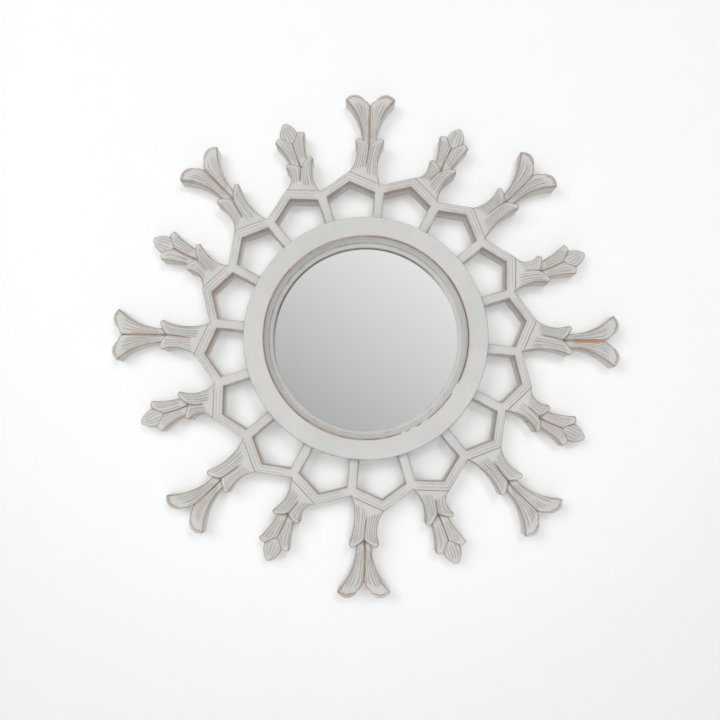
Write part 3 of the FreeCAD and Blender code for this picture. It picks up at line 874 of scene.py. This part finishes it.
def srgb(red, green, blue):
    """A colour as a screen shows it, from 0 to 255, as linear light."""
    shares = [value / 255 for value in (red, green, blue)]
    return tuple(v / 12.92 if v <= 0.04045 else ((v + 0.055) / 1.055) ** 2.4 for v in shares) + (1.0,)


# %% [markdown]
# ## Chalk paint, rubbed through
# The frame was painted a warm pale grey over red-brown wood, then rubbed back: the wood shows along
# edges, and brown glazing stays in the carved lines. The two numbers from the carving say where, and
# noise breaks the lines up so that no edge is worn evenly. The same grey and brown tones also paint
# shade on the side walls, in the corners under the leaves and on the ring's cove. The back never got
# more than a thin coat.

# %% Helpers for finishes
def new_finish(name):
    """A material, the bench for its nodes, and the place of a point on its object."""
    material = bpy.data.materials.new(name)
    material.use_nodes = True
    bench = Bench(material.node_tree)
    return material, bench, bench.node("ShaderNodeTexCoord", None, None, "Object")


def surface(bench, constants, **sockets):
    """Ends a finish in a Principled shader."""
    names = {key.replace("_", " "): value for key, value in sockets.items()}
    shader = bench.node("ShaderNodeBsdfPrincipled", None, {**constants, **names})
    bench.node("ShaderNodeOutputMaterial", None, {"Surface": shader})


def noise(bench, place, scale, detail=3.0, rough=0.55):
    return bench.node(
        "ShaderNodeTexNoise", None, {"Vector": place, "Scale": scale, "Detail": detail, "Roughness": rough}
    )


def bumped(bench, strength, distance, height):
    """Relief too fine for the mesh."""
    values = {"Strength": strength, "Distance": distance, "Height": height}
    return bench.node("ShaderNodeBump", None, values, "Normal")


def stretched(bench, place, scale):
    """Object coordinates drawn out along the grain."""
    return bench.node("ShaderNodeMapping", {"vector_type": "POINT"}, {"Vector": place, "Scale": scale})


# %% Painted wood
PAINT, PAINT_DULL, PAINT_PATCH = srgb(206, 205, 202), srgb(198, 198, 195), srgb(192, 192, 189)
WOOD_LIGHT, WOOD_DARK = srgb(200, 151, 120), srgb(171, 127, 104)
GREY_GLAZE_AND_SHADE, BROWN_GLAZE_AND_SHADE, GLAZE_UMBER = srgb(153, 150, 146), srgb(138, 104, 90), srgb(78, 66, 62)
THIN_LIGHT, THIN_DARK = srgb(183, 156, 143), srgb(148, 125, 115)
BACK_BROWN, BACK_GREY = srgb(172, 128, 96), srgb(190, 170, 150)


def chalk_paint():
    material, bench, place = new_finish("chalk_paint")
    rubbed = bench.node("ShaderNodeAttribute", {"attribute_name": "rubbed"}, None, "Fac")
    glazed = bench.node("ShaderNodeAttribute", {"attribute_name": "glazed"}, None, "Fac")
    depth = bench.node("ShaderNodeSeparateXYZ", None, {"Vector": place}, "Y")
    cloud, patch, grit = noise(bench, place, 14), noise(bench, place, 55), noise(bench, place, 420, 4.0)
    grain = noise(bench, stretched(bench, place, (1.0, 1.0, 6.0)), 130, 4.0, 0.65)

    tone = bench.mix(bench.step(cloud + grit * 0.25, 0.42, 0.82), PAINT, PAINT_DULL)
    tone = bench.mix(bench.step(patch, 0.55, 0.8) * 0.3, tone, PAINT_PATCH)
    wood = bench.mix(bench.step(grain, 0.35, 0.7), WOOD_LIGHT, WOOD_DARK)
    brown = bench.mix(bench.step(cloud + patch, 0.88, 1.14), BROWN_GLAZE_AND_SHADE, wood)
    # These grey and brown tones paint glazing in carved lines, and painted shade on the side walls, in the
    # corners under leaves and on the ring's cove and sight edge.
    glaze_and_shade_tone = bench.mix(bench.step(glazed, 0.55, 0.85), GREY_GLAZE_AND_SHADE, brown)
    glaze_and_shade_tone = bench.mix(bench.step(glazed, 1.2, 1.4), glaze_and_shade_tone, GLAZE_UMBER)
    glaze_and_shade_mask = bench.step(glazed + (patch - 0.5) * 0.35 + (grit - 0.5) * 0.25, 0.2, 0.75)
    tone = bench.mix(glaze_and_shade_mask * 0.84, tone, glaze_and_shade_tone)
    rub = rubbed + (patch - 0.5) * 0.95 + (grit - 0.5) * 0.4
    thinned = bench.step(rub, 0.21, 0.66)
    tone = bench.mix(thinned * 0.85, tone, bench.mix(grain, THIN_LIGHT, THIN_DARK))
    worn = bench.step(rub + (cloud - 0.5) * 1.7, 0.9, 1.2)
    tone = bench.mix(worn, tone, wood)
    rear = bench.step(depth * METRE + (patch - 0.5) * 2.0, 15.9, 16.5)
    coat = bench.mix(bench.step(cloud + (grain - 0.5) * 0.8, 0.35, 0.7), BACK_BROWN, BACK_GREY)
    tone = bench.mix(rear, tone, coat)

    height = grit * 0.5 + grain * 0.5 - worn * 0.6
    bump = bumped(bench, 0.25, 0.0004, height)
    surface(bench, {"Specular IOR Level": 0.3}, Base_Color=tone, Roughness=0.86 - worn * 0.2, Normal=bump)
    return material


chalk = chalk_paint()
for piece, node in rays:
    piece.data.materials.clear()
    piece.data.materials.append(chalk)
    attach(piece, "frame")
    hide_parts(node)
print("finish:", chalk.name)

# %% [markdown]
# ## The turned ring
# A ring from the lathe is one profile carried around a circle, which is what Curve to Mesh does. The
# profile runs from the flat face over its sharp arris and down a cove to a small bead and the sight edge,
# then back through the rebate for the glass. A little noise keeps the turned faces from being perfect.

# %% The ring's profile
RING_DEPTH, ARRIS_RADIUS, SIGHT_RADIUS = 33.5, 119.5, 110.5
BEAD_RADIUS, BEAD_FRONT, SIGHT_FRONT, LIP_BACK = 114.5, 18.3, 15.1, 13.3
COVE_CREST, COVE_FOOT = np.array((ARRIS_RADIUS, RING_DEPTH - 0.5)), np.array((115.7, BEAD_FRONT))
COVE_RIDGES, RIDGE_HEIGHT, COVE_HOLLOW, COVE_STEP = 4, 0.22, 2.0, 0.5
REBATE_RADIUS, LEDGE_RADIUS, LEDGE_DEPTH = 115.5, 124.1, 6.0
EDGE_EASE, ARRIS_EASE, LEAST_STEP = 1.2, 0.5, 0.05


def ridged_cove():
    """The cove, from arris to foot, with the fine ridges of the turning tool."""
    inward = np.array((COVE_FOOT - COVE_CREST)[::-1] * (1, -1)) / np.linalg.norm(COVE_FOOT - COVE_CREST)
    deepest = (COVE_FOOT + COVE_CREST) / 2 - COVE_HOLLOW * inward
    path = arc_points(COVE_CREST, deepest, COVE_FOOT, COVE_STEP)
    share = np.linspace(0, 1, len(path))
    lift = RIDGE_HEIGHT * np.cos(2 * math.pi * COVE_RIDGES * share) * np.sin(math.pi * share)
    return path + lift[:, None] * inward


cove = ridged_cove()


def ring_profile():
    """The ring's section as (radius, depth), with softened corners in front."""
    edge, wall_top, face_end = RING_RADIUS - EDGE_EASE, RING_DEPTH - EDGE_EASE, ARRIS_RADIUS + ARRIS_EASE
    parts = [
        line_points((RING_RADIUS, 0), (RING_RADIUS, wall_top))[::4],
        arc_points((RING_RADIUS, wall_top), (edge + 0.85, RING_DEPTH - 0.35), (edge, RING_DEPTH)),
        line_points((edge, RING_DEPTH), (face_end, RING_DEPTH))[::2],
        arc_points((face_end, RING_DEPTH), (ARRIS_RADIUS + 0.12, RING_DEPTH - 0.12), COVE_CREST),
        cove,
        arc_points(COVE_FOOT, (BEAD_RADIUS + 0.6, BEAD_FRONT + 0.5), (BEAD_RADIUS, BEAD_FRONT - 0.1)),
        line_points((BEAD_RADIUS, BEAD_FRONT - 0.1), (SIGHT_RADIUS + 0.4, SIGHT_FRONT + 0.2)),
        [(SIGHT_RADIUS + 0.1, SIGHT_FRONT), (SIGHT_RADIUS, SIGHT_FRONT - 0.3), (SIGHT_RADIUS, LIP_BACK)],
        [(REBATE_RADIUS, LIP_BACK), (REBATE_RADIUS, LEDGE_DEPTH)],
        [(LEDGE_RADIUS, LEDGE_DEPTH), (LEDGE_RADIUS, 0)],
        line_points((LEDGE_RADIUS, 0), (RING_RADIUS, 0))[3::4],
    ]
    points = np.concatenate([np.asarray(part, float).reshape(-1, 2) for part in parts])
    return points[np.linalg.norm(points - np.roll(points, 1, 0), axis=1) > LEAST_STEP]


section = ring_profile()
rim = bpy.data.meshes.new("ring_profile")
rim_points = [((radius - RING_RADIUS) * MM, (WALL_Y - depth) * MM, 0) for radius, depth in section]
rim.from_pydata(rim_points, [(i, (i + 1) % len(section)) for i in range(len(section))], [])
profile = bpy.data.objects.new("ring_profile", rim)
bpy.context.scene.collection.objects.link(profile)
print("points in the ring's profile:", len(section))


# %% Sweeping the profile with nodes
def new_tree(name, **inputs):
    """A Geometry Nodes tree with named inputs, and a link for each of them."""
    tree = bpy.data.node_groups.new(name, "GeometryNodeTree")
    kinds = {"object": "NodeSocketObject", "int": "NodeSocketInt", "float": "NodeSocketFloat"}
    for label, kind in inputs.items():
        tree.interface.new_socket(label.replace("_", " "), in_out="INPUT", socket_type=kinds[kind])
    tree.interface.new_socket("Geometry", in_out="OUTPUT", socket_type="NodeSocketGeometry")
    bench = Bench(tree)
    source = tree.nodes.new("NodeGroupInput")
    return bench, {label: Link(bench, source.outputs[label.replace("_", " ")]) for label in inputs}


def close_tree(bench, shape, material):
    """Ends a tree in plain geometry with a material."""
    plain = bench.node("GeometryNodeRealizeInstances", None, {"Geometry": shape})
    dressed = bench.node("GeometryNodeSetMaterial", None, {"Geometry": plain, "Material": material})
    bench.node("NodeGroupOutput", None, {0: dressed})
    return bench.tree


def grown(name, tree, values):
    """The plain mesh that a tree makes, as an object."""
    piece = bpy.data.objects.new(name, bpy.data.meshes.new(name + "_seed"))
    bpy.context.scene.collection.objects.link(piece)
    modifier = piece.modifiers.new("grown", "NODES")
    modifier.node_group = tree
    for label, value in values.items():
        modifier[tree.interface.items_tree[label].identifier] = value
    graph = bpy.context.evaluated_depsgraph_get()
    take_mesh(piece, bpy.data.meshes.new_from_object(piece.evaluated_get(graph)))
    return piece


def sweep_tree():
    """A profile carried around a circle, slightly uneven."""
    bench, given = new_tree(
        "ring_sweep", Profile="object", Radius="float", Segments="int", Unevenness="float", Seed="float"
    )
    edges = bench.node("GeometryNodeObjectInfo", None, {"Object": given["Profile"]}, "Geometry")
    line = bench.node("GeometryNodeMeshToCurve", None, {"Mesh": edges})
    size = {"Radius": given["Radius"], "Resolution": given["Segments"]}
    circle = bench.node("GeometryNodeCurvePrimitiveCircle", {"mode": "RADIUS"}, size)
    swept = bench.node("GeometryNodeCurveToMesh", None, {"Curve": circle, "Profile Curve": line})
    upright = bench.node("GeometryNodeTransform", None, {"Geometry": swept, "Rotation": (math.pi / 2, 0, 0)})
    wave = {"Scale": 22.0, "Detail": 2.0, "W": given["Seed"]}
    cloud = bench.node("ShaderNodeTexNoise", {"noise_dimensions": "4D"}, wave, "Color")
    centred = bench.node("ShaderNodeVectorMath", {"operation": "SUBTRACT"}, {0: cloud, 1: (0.5, 0.5, 0.5)})
    reach = {0: centred, "Scale": given["Unevenness"]}
    shift = bench.node("ShaderNodeVectorMath", {"operation": "SCALE"}, reach)
    uneven = bench.node("GeometryNodeSetPosition", None, {"Geometry": upright, "Offset": shift})
    return close_tree(bench, uneven, chalk)


ring = grown(
    "turned_ring",
    sweep_tree(),
    {"Profile": profile, "Radius": RING_RADIUS * MM, "Segments": 288, "Unevenness": 0.0003, "Seed": 4.0},
)
bpy.data.meshes.remove(rim)
print("faces in the ring:", len(ring.data.polygons))

# %% [markdown]
# ## Cuts in the ring
# Behind, the ring has dowel holes around its edge, a recess and a pocket for the keyhole plate at the
# top, and pilot holes for the screws. They are cut like the joints of the rays. Then each point's
# distance from the turned edges says how rubbed it is, and how much dark colour it gets: glazing on the
# arris, and painted shade in lines on the upper part of the cove, at the sight edge and on the outer wall.

# %% Dowel holes, hanger recess and pilots
HANGER_MIDDLE, HANGER_LENGTH, HANGER_HEIGHT, HANGER_THICKNESS = 134.05, 40.0, 17.0, 2.0
POCKET_MIDDLE, POCKET_LENGTH, POCKET_WIDTH, POCKET_DEPTH = 135.05, 14.9, 9.1, 8.0
BUTTON_PIVOT_RADIUS, HANGER_SCREW_REACH = 119.8, 14.0
PILOT_RADIUS, BUTTON_PILOT_DEPTH, HANGER_PILOT_DEPTH, RECESS_PLAY = 1.55, 17.0, 10.5, 0.4
button_spots = [polar(BUTTON_PIVOT_RADIUS, 45 + 90 * index) for index in range(4)]
hanger_spots = [np.array((side * HANGER_SCREW_REACH, HANGER_MIDDLE)) for side in (-1, 1)]


def pilot(spot, back, front):
    """A screw hole square to the wall."""
    return rod(*[np.array((spot[0], WALL_Y - depth, spot[1])) for depth in (back, front)], PILOT_RADIUS)


recess_size = HANGER_LENGTH + RECESS_PLAY, HANGER_HEIGHT + RECESS_PLAY
recess = stadium(np.array((0, HANGER_MIDDLE)), (1, 0), *recess_size)
pocket = stadium(np.array((0, POCKET_MIDDLE)), (0, 1), POCKET_LENGTH, POCKET_WIDTH)
pilots = [pilot(spot, LEDGE_DEPTH + BEHIND, BUTTON_PILOT_DEPTH) for spot in button_spots]
pilots += [pilot(spot, BEHIND, HANGER_PILOT_DEPTH) for spot in hanger_spots]
finished(
    ring,
    [
        ("DIFFERENCE", together("dowels", [dowel_hole(RAY_STEP * index) for index in range(16)])),
        ("DIFFERENCE", together("recess", [prism(recess, BEHIND, HANGER_THICKNESS)])),
        ("DIFFERENCE", together("pocket", [prism(pocket, BEHIND, POCKET_DEPTH)] + pilots)),
    ],
)
print("faces in the ring after its cuts:", len(ring.data.polygons))

# %% Worn edges and painted shade of the ring
# stretches in degrees, clockwise from the top
ARRIS_GAPS = ((116, 123), (143, 147), (151, 154), (157, 160))
FAINT_ARRIS = ((120, 165), (312, 358))
DARK_ARRIS = (40, 60, 113, 119)
# a corner's radius and depth, and how strong and how wide its mark is
RING_EDGES = (
    ((RING_RADIUS - 0.4, RING_DEPTH - 0.4), 0.45, 0.9),
    ((ARRIS_RADIUS + 0.1, RING_DEPTH - 0.1), 0.24, 1.1),
    ((BEAD_RADIUS + 0.2, BEAD_FRONT + 0.2), 0.45, 0.6),
    ((SIGHT_RADIUS, SIGHT_FRONT), 0.5, 0.7),
)
# Painted shade: dark lines on the cove, at its foot and at the sight edge.
RING_SHADE_LINES = (
    *[(tuple(cove[round((k + 0.5) / COVE_RIDGES * len(cove))]), 0.55, 0.7) for k in range(COVE_RIDGES)],
    (tuple(COVE_FOOT), 0.62, 0.8),
    ((SIGHT_RADIUS + 0.5, SIGHT_FRONT + 0.2), 0.7, 0.8),
    ((SIGHT_RADIUS, LIP_BACK), 0.6, 0.9),
)
# Glazing and painted shade on the ring's outer wall, below its front edge.
RING_WALL_GLAZE_AND_SHADE = ((RING_RADIUS, RING_DEPTH - 4.5), 0.6, 4.0)
ARRIS_LINE = ((ARRIS_RADIUS + 0.1, RING_DEPTH - 0.1), 1.36, 1.8)
ARRIS_GLAZE = ((ARRIS_RADIUS + 0.1, RING_DEPTH - 0.1), 2.2, 1.6)
OUTER_LINE = ((RING_RADIUS - 0.3, RING_DEPTH - 0.6), 0.74, 1.1)
COVE_SHADE_MIDDLE = 330
GAP_WEAR, DARK_SHELTER, FAINT_LINE = 0.4, 0.8, 0.72

# %% How near each point of the ring is to its edges
count = len(ring.data.vertices)
place = np.zeros(count * 3, np.float32)
ring.data.vertices.foreach_get("co", place)
place = place.reshape(-1, 3) / MM
spot = np.column_stack((np.hypot(place[:, 0], place[:, 2]), WALL_Y - place[:, 1]))
turn = np.degrees(np.arctan2(place[:, 0], place[:, 2])) % 360


def near(places):
    """How near each point of the ring is to the strongest of some turned edges."""
    values = np.zeros(count)
    for corner, strength, width in places:
        gap = np.linalg.norm(spot - corner, axis=1)
        values = np.maximum(values, strength * np.exp(-((gap / width) ** 2)))
    return values


# The cove's lines of painted shade are kept to the upper left, where the cove faces away from the light; the
# dark line along the outer corner only marks the lower half.
facing = np.cos(np.radians(turn - COVE_SHADE_MIDDLE))
upper, lower = smooth(-0.35, 0.35, facing), smooth(-0.6, 0.3, -facing)
dark = smooth(*DARK_ARRIS[:2], turn) * (1 - smooth(*DARK_ARRIS[2:], turn))
kept, bold = (
    1 - np.max([(turn > first) & (turn < last) for first, last in stretches], 0)
    for stretches in (ARRIS_GAPS, FAINT_ARRIS)
)
ring_wear = near(RING_EDGES) * (GAP_WEAR + (1 - GAP_WEAR) * kept) * (1 - DARK_SHELTER * dark)
ring_glaze_and_shade = np.max(
    [
        upper * near(RING_SHADE_LINES),
        lower * near([OUTER_LINE]),
        kept * (FAINT_LINE + (1 - FAINT_LINE) * bold) * near([ARRIS_LINE]),
        dark * near([ARRIS_GLAZE]),
        near([RING_WALL_GLAZE_AND_SHADE]),
    ],
    0,
)
for mark, values in (("rubbed", ring_wear), ("glazed", ring_glaze_and_shade)):
    ring.data.attributes.new(mark, "FLOAT", "POINT").data.foreach_set("value", values.astype(np.float32))
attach(ring, "frame")
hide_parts("mirror_ring")
print("points in the ring:", count)

# %% [markdown]
# ## Plain finishes
# The mirror is silvered glass with a grey coat behind and a dark band of painted reflection just inside
# its upper edge, the board is brown hardboard, keys and dowels are bare wood, and the hardware is
# zinc-plated steel. None needs a new shape, so each measured mesh keeps its place and its object gets a
# finish.

# %% Mirror, hardboard, bare wood and steel
def silvered_glass():
    material, bench, place = new_finish("silvered_glass")
    depth = bench.node("ShaderNodeSeparateXYZ", None, {"Vector": place}, "Y")
    front = 1 - bench.step(depth * METRE, 3.6, 3.9)
    haze = noise(bench, place, 9)
    coat = bench.mix(haze, srgb(120, 122, 124), srgb(136, 138, 140))
    shine = bench.mix(haze, srgb(240, 241, 241), srgb(243, 244, 244))
    flat = bench.node("ShaderNodeVectorMath", {"operation": "MULTIPLY"}, {0: place, 1: (1.0, 0.0, 1.0)})
    radius = bench.node("ShaderNodeVectorMath", {"operation": "LENGTH"}, {0: flat}, "Value")
    across, up = (bench.node("ShaderNodeSeparateXYZ", None, {"Vector": place}, axis) for axis in "XZ")
    # Painted reflection: a dark band just inside the sight edge, strongest at the top, stands for the lip's
    # dark back seen in the glass.
    rim = bench.step(radius * METRE, 107.9, 109.8) * bench.step(up - across * 0.35, 0.0, 0.08)
    shine = bench.mix(rim * 0.85, shine, srgb(84, 86, 88))
    rough = 0.5 - front * 0.49 + haze * 0.01
    surface(bench, {}, Base_Color=bench.mix(front, coat, shine), Metallic=front, Roughness=rough)
    return material


def hardboard():
    material, bench, place = new_finish("hardboard")
    fibre, cloud = noise(bench, place, 900, 4.0, 0.7), noise(bench, place, 20)
    tone = bench.mix(fibre * 0.7 + cloud * 0.3, srgb(104, 76, 52), srgb(142, 108, 76))
    bump = bumped(bench, 0.3, 0.0003, fibre)
    surface(bench, {}, Base_Color=tone, Roughness=0.7 + cloud * 0.15, Normal=bump)
    return material


def bare_wood():
    material, bench, place = new_finish("bare_wood")
    grain = noise(bench, stretched(bench, place, (1.0, 1.0, 8.0)), 160, 4.0, 0.65)
    tone = bench.mix(bench.step(grain, 0.3, 0.75), srgb(205, 168, 124), srgb(170, 126, 86))
    bump = bumped(bench, 0.2, 0.0002, grain)
    surface(bench, {}, Base_Color=tone, Roughness=0.62 + grain * 0.2, Normal=bump)
    return material


def zinc_plate():
    material, bench, place = new_finish("zinc_plate")
    cloud = noise(bench, place, 120)
    scratch = noise(bench, stretched(bench, place, (1.0, 1.0, 14.0)), 700, 3.0)
    tone = bench.mix(cloud, srgb(178, 180, 182), srgb(206, 207, 206))
    surface(bench, {"Metallic": 1.0}, Base_Color=tone, Roughness=0.28 + cloud * 0.12 + scratch * 0.12)
    return material


def dress(material, slot, *names):
    """Gives measured nodes a finish through their objects' own material slots."""
    for name in names:
        for place in nodes[name].material_slots:
            place.link = "OBJECT"
            place.material = material


steel = zinc_plate()
dress(silvered_glass(), "mirror", "mirror_glass")
dress(hardboard(), "hardboard", "backing_board")
dress(bare_wood(), "bare_wood", "ring_dowels", "joint_keys")
dress(steel, "plated_steel", "hanger_plate", *[f"turn_button_{index}" for index in range(1, 5)])
print("finishes:", sorted(m.name for m in bpy.data.materials))

# %% [markdown]
# ## Screws
# Four round-head screws hold the turn buttons, and two countersunk ones the plate. A screw is a small
# turned body with a slot, made once and placed by Geometry Nodes on a few points, each turned by chance
# as a hand would leave it.

# %% One screw, and a tree that repeats it
def lathe(steps, count=32):
    """A body turned about Y from (radius, height) steps between two points on its axis."""
    turn = np.linspace(0, 2 * math.pi, count, endpoint=False)
    rings = [np.column_stack((r * np.cos(turn), np.full(count, y), r * np.sin(turn))) for r, y in steps[1:-1]]
    points = np.vstack([(0, steps[0][1], 0)] + rings + [(0, steps[-1][1], 0)])
    first, last = 0, len(points) - 1
    ids = 1 + np.arange(count * len(rings)).reshape(len(rings), count)
    faces = [(first, ids[0][(i + 1) % count], ids[0][i]) for i in range(count)]
    for upper, lower in zip(ids, ids[1:]):
        faces += [(upper[i], upper[(i + 1) % count], lower[(i + 1) % count], lower[i]) for i in range(count)]
    faces += [(last, ids[-1][i], ids[-1][(i + 1) % count]) for i in range(count)]
    return points, [tuple(int(i) for i in face) for face in faces]


def slot_cutter(half_length, half_width, low, high):
    """A thin block that cuts a driver's slot."""
    loop = np.array((half_length, half_width)) * ((-1, -1), (1, -1), (1, 1), (-1, 1))
    return prism(loop, WALL_Y - low, WALL_Y - high)


def screw_tree():
    bench, given = new_tree("screws", Places="object", Screw="object", Seed="int")
    points = bench.node("GeometryNodeObjectInfo", None, {"Object": given["Places"]}, "Geometry")
    screw = bench.node("GeometryNodeObjectInfo", None, {"Object": given["Screw"]}, "Geometry")
    ends = {0: (0.0, 0.0, 0.0), 1: (0.0, 2 * math.pi, 0.0), "Seed": given["Seed"]}
    spin = bench.node("FunctionNodeRandomValue", {"data_type": "FLOAT_VECTOR"}, ends)
    placed = {"Points": points, "Instance": screw, "Rotation": spin}
    return close_tree(bench, bench.node("GeometryNodeInstanceOnPoints", None, placed), steel)


screws = screw_tree()
ROUND_HEAD = [(0, 1.5), (1.2, 1.42), (2.1, 1.15), (2.7, 0.7), (3.0, 0.2), (3.0, 0)]
BUTTON_SCREW = ROUND_HEAD + [(1.5, 0), (1.5, -10), (0, -12)]
HANGER_SCREW = [(0, 0), (2.7, 0), (2.9, -0.1), (1.5, -2), (1.5, -8.5), (0, -10)]
# where the screws are, how far from the wall, their bodies, and the sizes of their slots
SCREWS = {
    "button_screws": (button_spots, 4.5, BUTTON_SCREW, (3.5, 0.4, 2.5, 0.85)),
    "hanger_screws": (hanger_spots, 0.0, HANGER_SCREW, (2.2, 0.45, 1.0, -1.0)),
}
for name, (spots, depth, body, cut) in SCREWS.items():
    screw = together("one_" + name, [lathe(body)])
    finished(screw, [("DIFFERENCE", together("slot", [slot_cutter(*cut)]))])
    places = mesh_object("places_" + name, [(s, WALL_Y - depth, r) for s, r in spots], [])
    piece = grown("slotted_" + name, screws, {"Places": places, "Screw": screw, "Seed": 7})
    for spare in (screw, places):
        bpy.data.meshes.remove(spare.data)
    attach(piece, "frame")
    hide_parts(name)
    print(piece.name, "faces:", len(piece.data.polygons))

# %% [markdown]
# ## Wall, floor and light
# The mirror hangs on a plain white wall with a pale floor far below. The wall shows only its room side,
# so that views from behind still see the back, and it stops no light there. Its colour is painted a little
# darker away from one spot, as painted shade where the light falls off. The strongest soft light stands
# high on the left, weaker ones fill in from the right, from below and from behind, and the sky of the room
# is a smooth gradient, which the mirror reflects.

# %% Stage
WALL_GAP, FLOOR_HEIGHT, WALL_TOP = 0.4, -1400.0, 3000
STAGE_HALF, FLOOR_FRONT, FLOOR_BACK = 4000, -5000, 4000
PAINTED_LIGHT_CENTRE = (0.0, 0.0, 0.25)
WALL_WHITE, WALL_PAINTED_SHADE, FLOOR_PALE = srgb(246, 247, 247), srgb(235, 236, 238), srgb(236, 236, 234)


def plain_finish(name, colour, one_sided=False):
    material, bench, place = new_finish(name)
    tone = bench.mix(noise(bench, place, 1.5) * 0.2, colour, WALL_WHITE)
    if one_sided:
        # Painted shade: the wall's colour turns darker away from a spot a little above the mirror.
        ends = {0: place, 1: PAINTED_LIGHT_CENTRE}
        away = bench.node("ShaderNodeVectorMath", {"operation": "DISTANCE"}, ends, "Value")
        tone = bench.mix(bench.step(away, 0.42, 0.82), tone, WALL_PAINTED_SHADE)
    matt = {"Base Color": tone, "Roughness": 1.0, "Specular IOR Level": 0.0}
    shader = bench.node("ShaderNodeBsdfPrincipled", None, matt)
    if one_sided:
        behind = bench.node("ShaderNodeNewGeometry", None, None, "Backfacing")
        clear = bench.node("ShaderNodeBsdfTransparent")
        shader = bench.node("ShaderNodeMixShader", None, {0: behind, 1: shader, 2: clear})
    bench.node("ShaderNodeOutputMaterial", None, {"Surface": shader})
    return material


def sheet(name, corners, finish):
    """A flat piece of the stage."""
    piece = mesh_object(name, corners, [(0, 1, 2, 3)])
    piece.data.materials.append(finish)
    return piece


wall_y = WALL_Y + WALL_GAP
corners = ((-STAGE_HALF, 0), (STAGE_HALF, 0), (STAGE_HALF, 1), (-STAGE_HALF, 1))
wall_corners = [(across, wall_y, (FLOOR_HEIGHT, WALL_TOP)[end]) for across, end in corners]
floor_corners = [(across, (FLOOR_FRONT, FLOOR_BACK)[end], FLOOR_HEIGHT) for across, end in corners]
wall = sheet("wall", wall_corners, plain_finish("white_wall", WALL_WHITE, True))
wall.visible_shadow = False
floor = sheet("floor", floor_corners, plain_finish("pale_floor", FLOOR_PALE))
print("stage:", wall.name, "and", floor.name)

# %% Light
# where each light is and how wide, in metres, and its power
LIGHTS = (
    ("window_light", (-1.53, -2.45, 0.83), 1.9, 28.5),
    ("room_light", (0.8, -2.8, 1.15), 1.0, 16.5),
    ("low_light", (0.2, -2.8, -0.85), 1.2, 12.5),
    ("back_fill", (0.6, 2.2, 0.8), 1.6, 26.0),
)
for name, place, size, power in LIGHTS:
    lamp = bpy.data.lights.new(name, "AREA")
    lamp.shape, lamp.size, lamp.energy = "DISK", size, power
    holder = bpy.data.objects.new(name, lamp)
    bpy.context.scene.collection.objects.link(holder)
    holder.location = place
    holder.rotation_euler = (-Vector(place)).to_track_quat("-Z", "Y").to_euler()
print("lights:", len(LIGHTS))

# %% The sky of the room
ROOM_ACROSS, ROOM_UP, ROOM_MIDDLE, ROOM_DARKEST, ROOM_ASIDE = 0.83, 1.21, 0.51, 0.34, 0.38
world = bpy.data.worlds.new("room")
bpy.context.scene.world = world
world.use_nodes = True
sky = Bench(world.node_tree)
towards = sky.node("ShaderNodeTexCoord", None, None, "Generated")
parts = [sky.node("ShaderNodeSeparateXYZ", None, {"Vector": towards}, axis) for axis in "XYZ"]
slope = parts[0] * ROOM_ACROSS + parts[2] * ROOM_UP + ROOM_MIDDLE
room = slope.sum("MINIMUM", slope, 1.0)
room = room.sum("MAXIMUM", room, ROOM_DARKEST)
ahead = sky.step(0 - parts[1], 0.75, 0.95)
level = room * ahead + (1 - ahead) * ROOM_ASIDE
shade = sky.mix(level, (0.0, 0.0, 0.0, 1.0), (1.0, 1.0, 1.0, 1.0))
glow = sky.node("ShaderNodeBackground", None, {"Color": shade, "Strength": 1.0})
sky.node("ShaderNodeOutputWorld", None, {"Surface": glow})
bpy.context.scene.view_settings.view_transform = "Standard"
bpy.context.scene.view_settings.look = "None"
print("sky:", world.name)

# %% [markdown]
# ## Camera
# The picture was taken a little below the middle of the mirror, looking slightly up, with the camera
# tilted by half a degree.

# %% Camera at the photograph's viewing angle
CAMERA_PLACE = (-6.757, -842.38, -109.62)
CAMERA_TILT, CAMERA_ROLL = 5.64, 0.56
LENS, FRAME_WIDTH, NEAREST = 35.5, 36.0, 0.01
lens = bpy.data.cameras.new("camera")
lens.lens, lens.sensor_width = LENS, FRAME_WIDTH
lens.clip_start = NEAREST
camera = bpy.data.objects.new("camera", lens)
bpy.context.scene.collection.objects.link(camera)
camera.location = [value * MM for value in CAMERA_PLACE]
camera.rotation_euler = (math.radians(90 + CAMERA_TILT), 0, 0)
camera.rotation_euler.rotate_axis("Z", math.radians(CAMERA_ROLL))
bpy.context.scene.camera = camera
print("camera:", LENS, "mm lens, looking up by", CAMERA_TILT, "degrees")
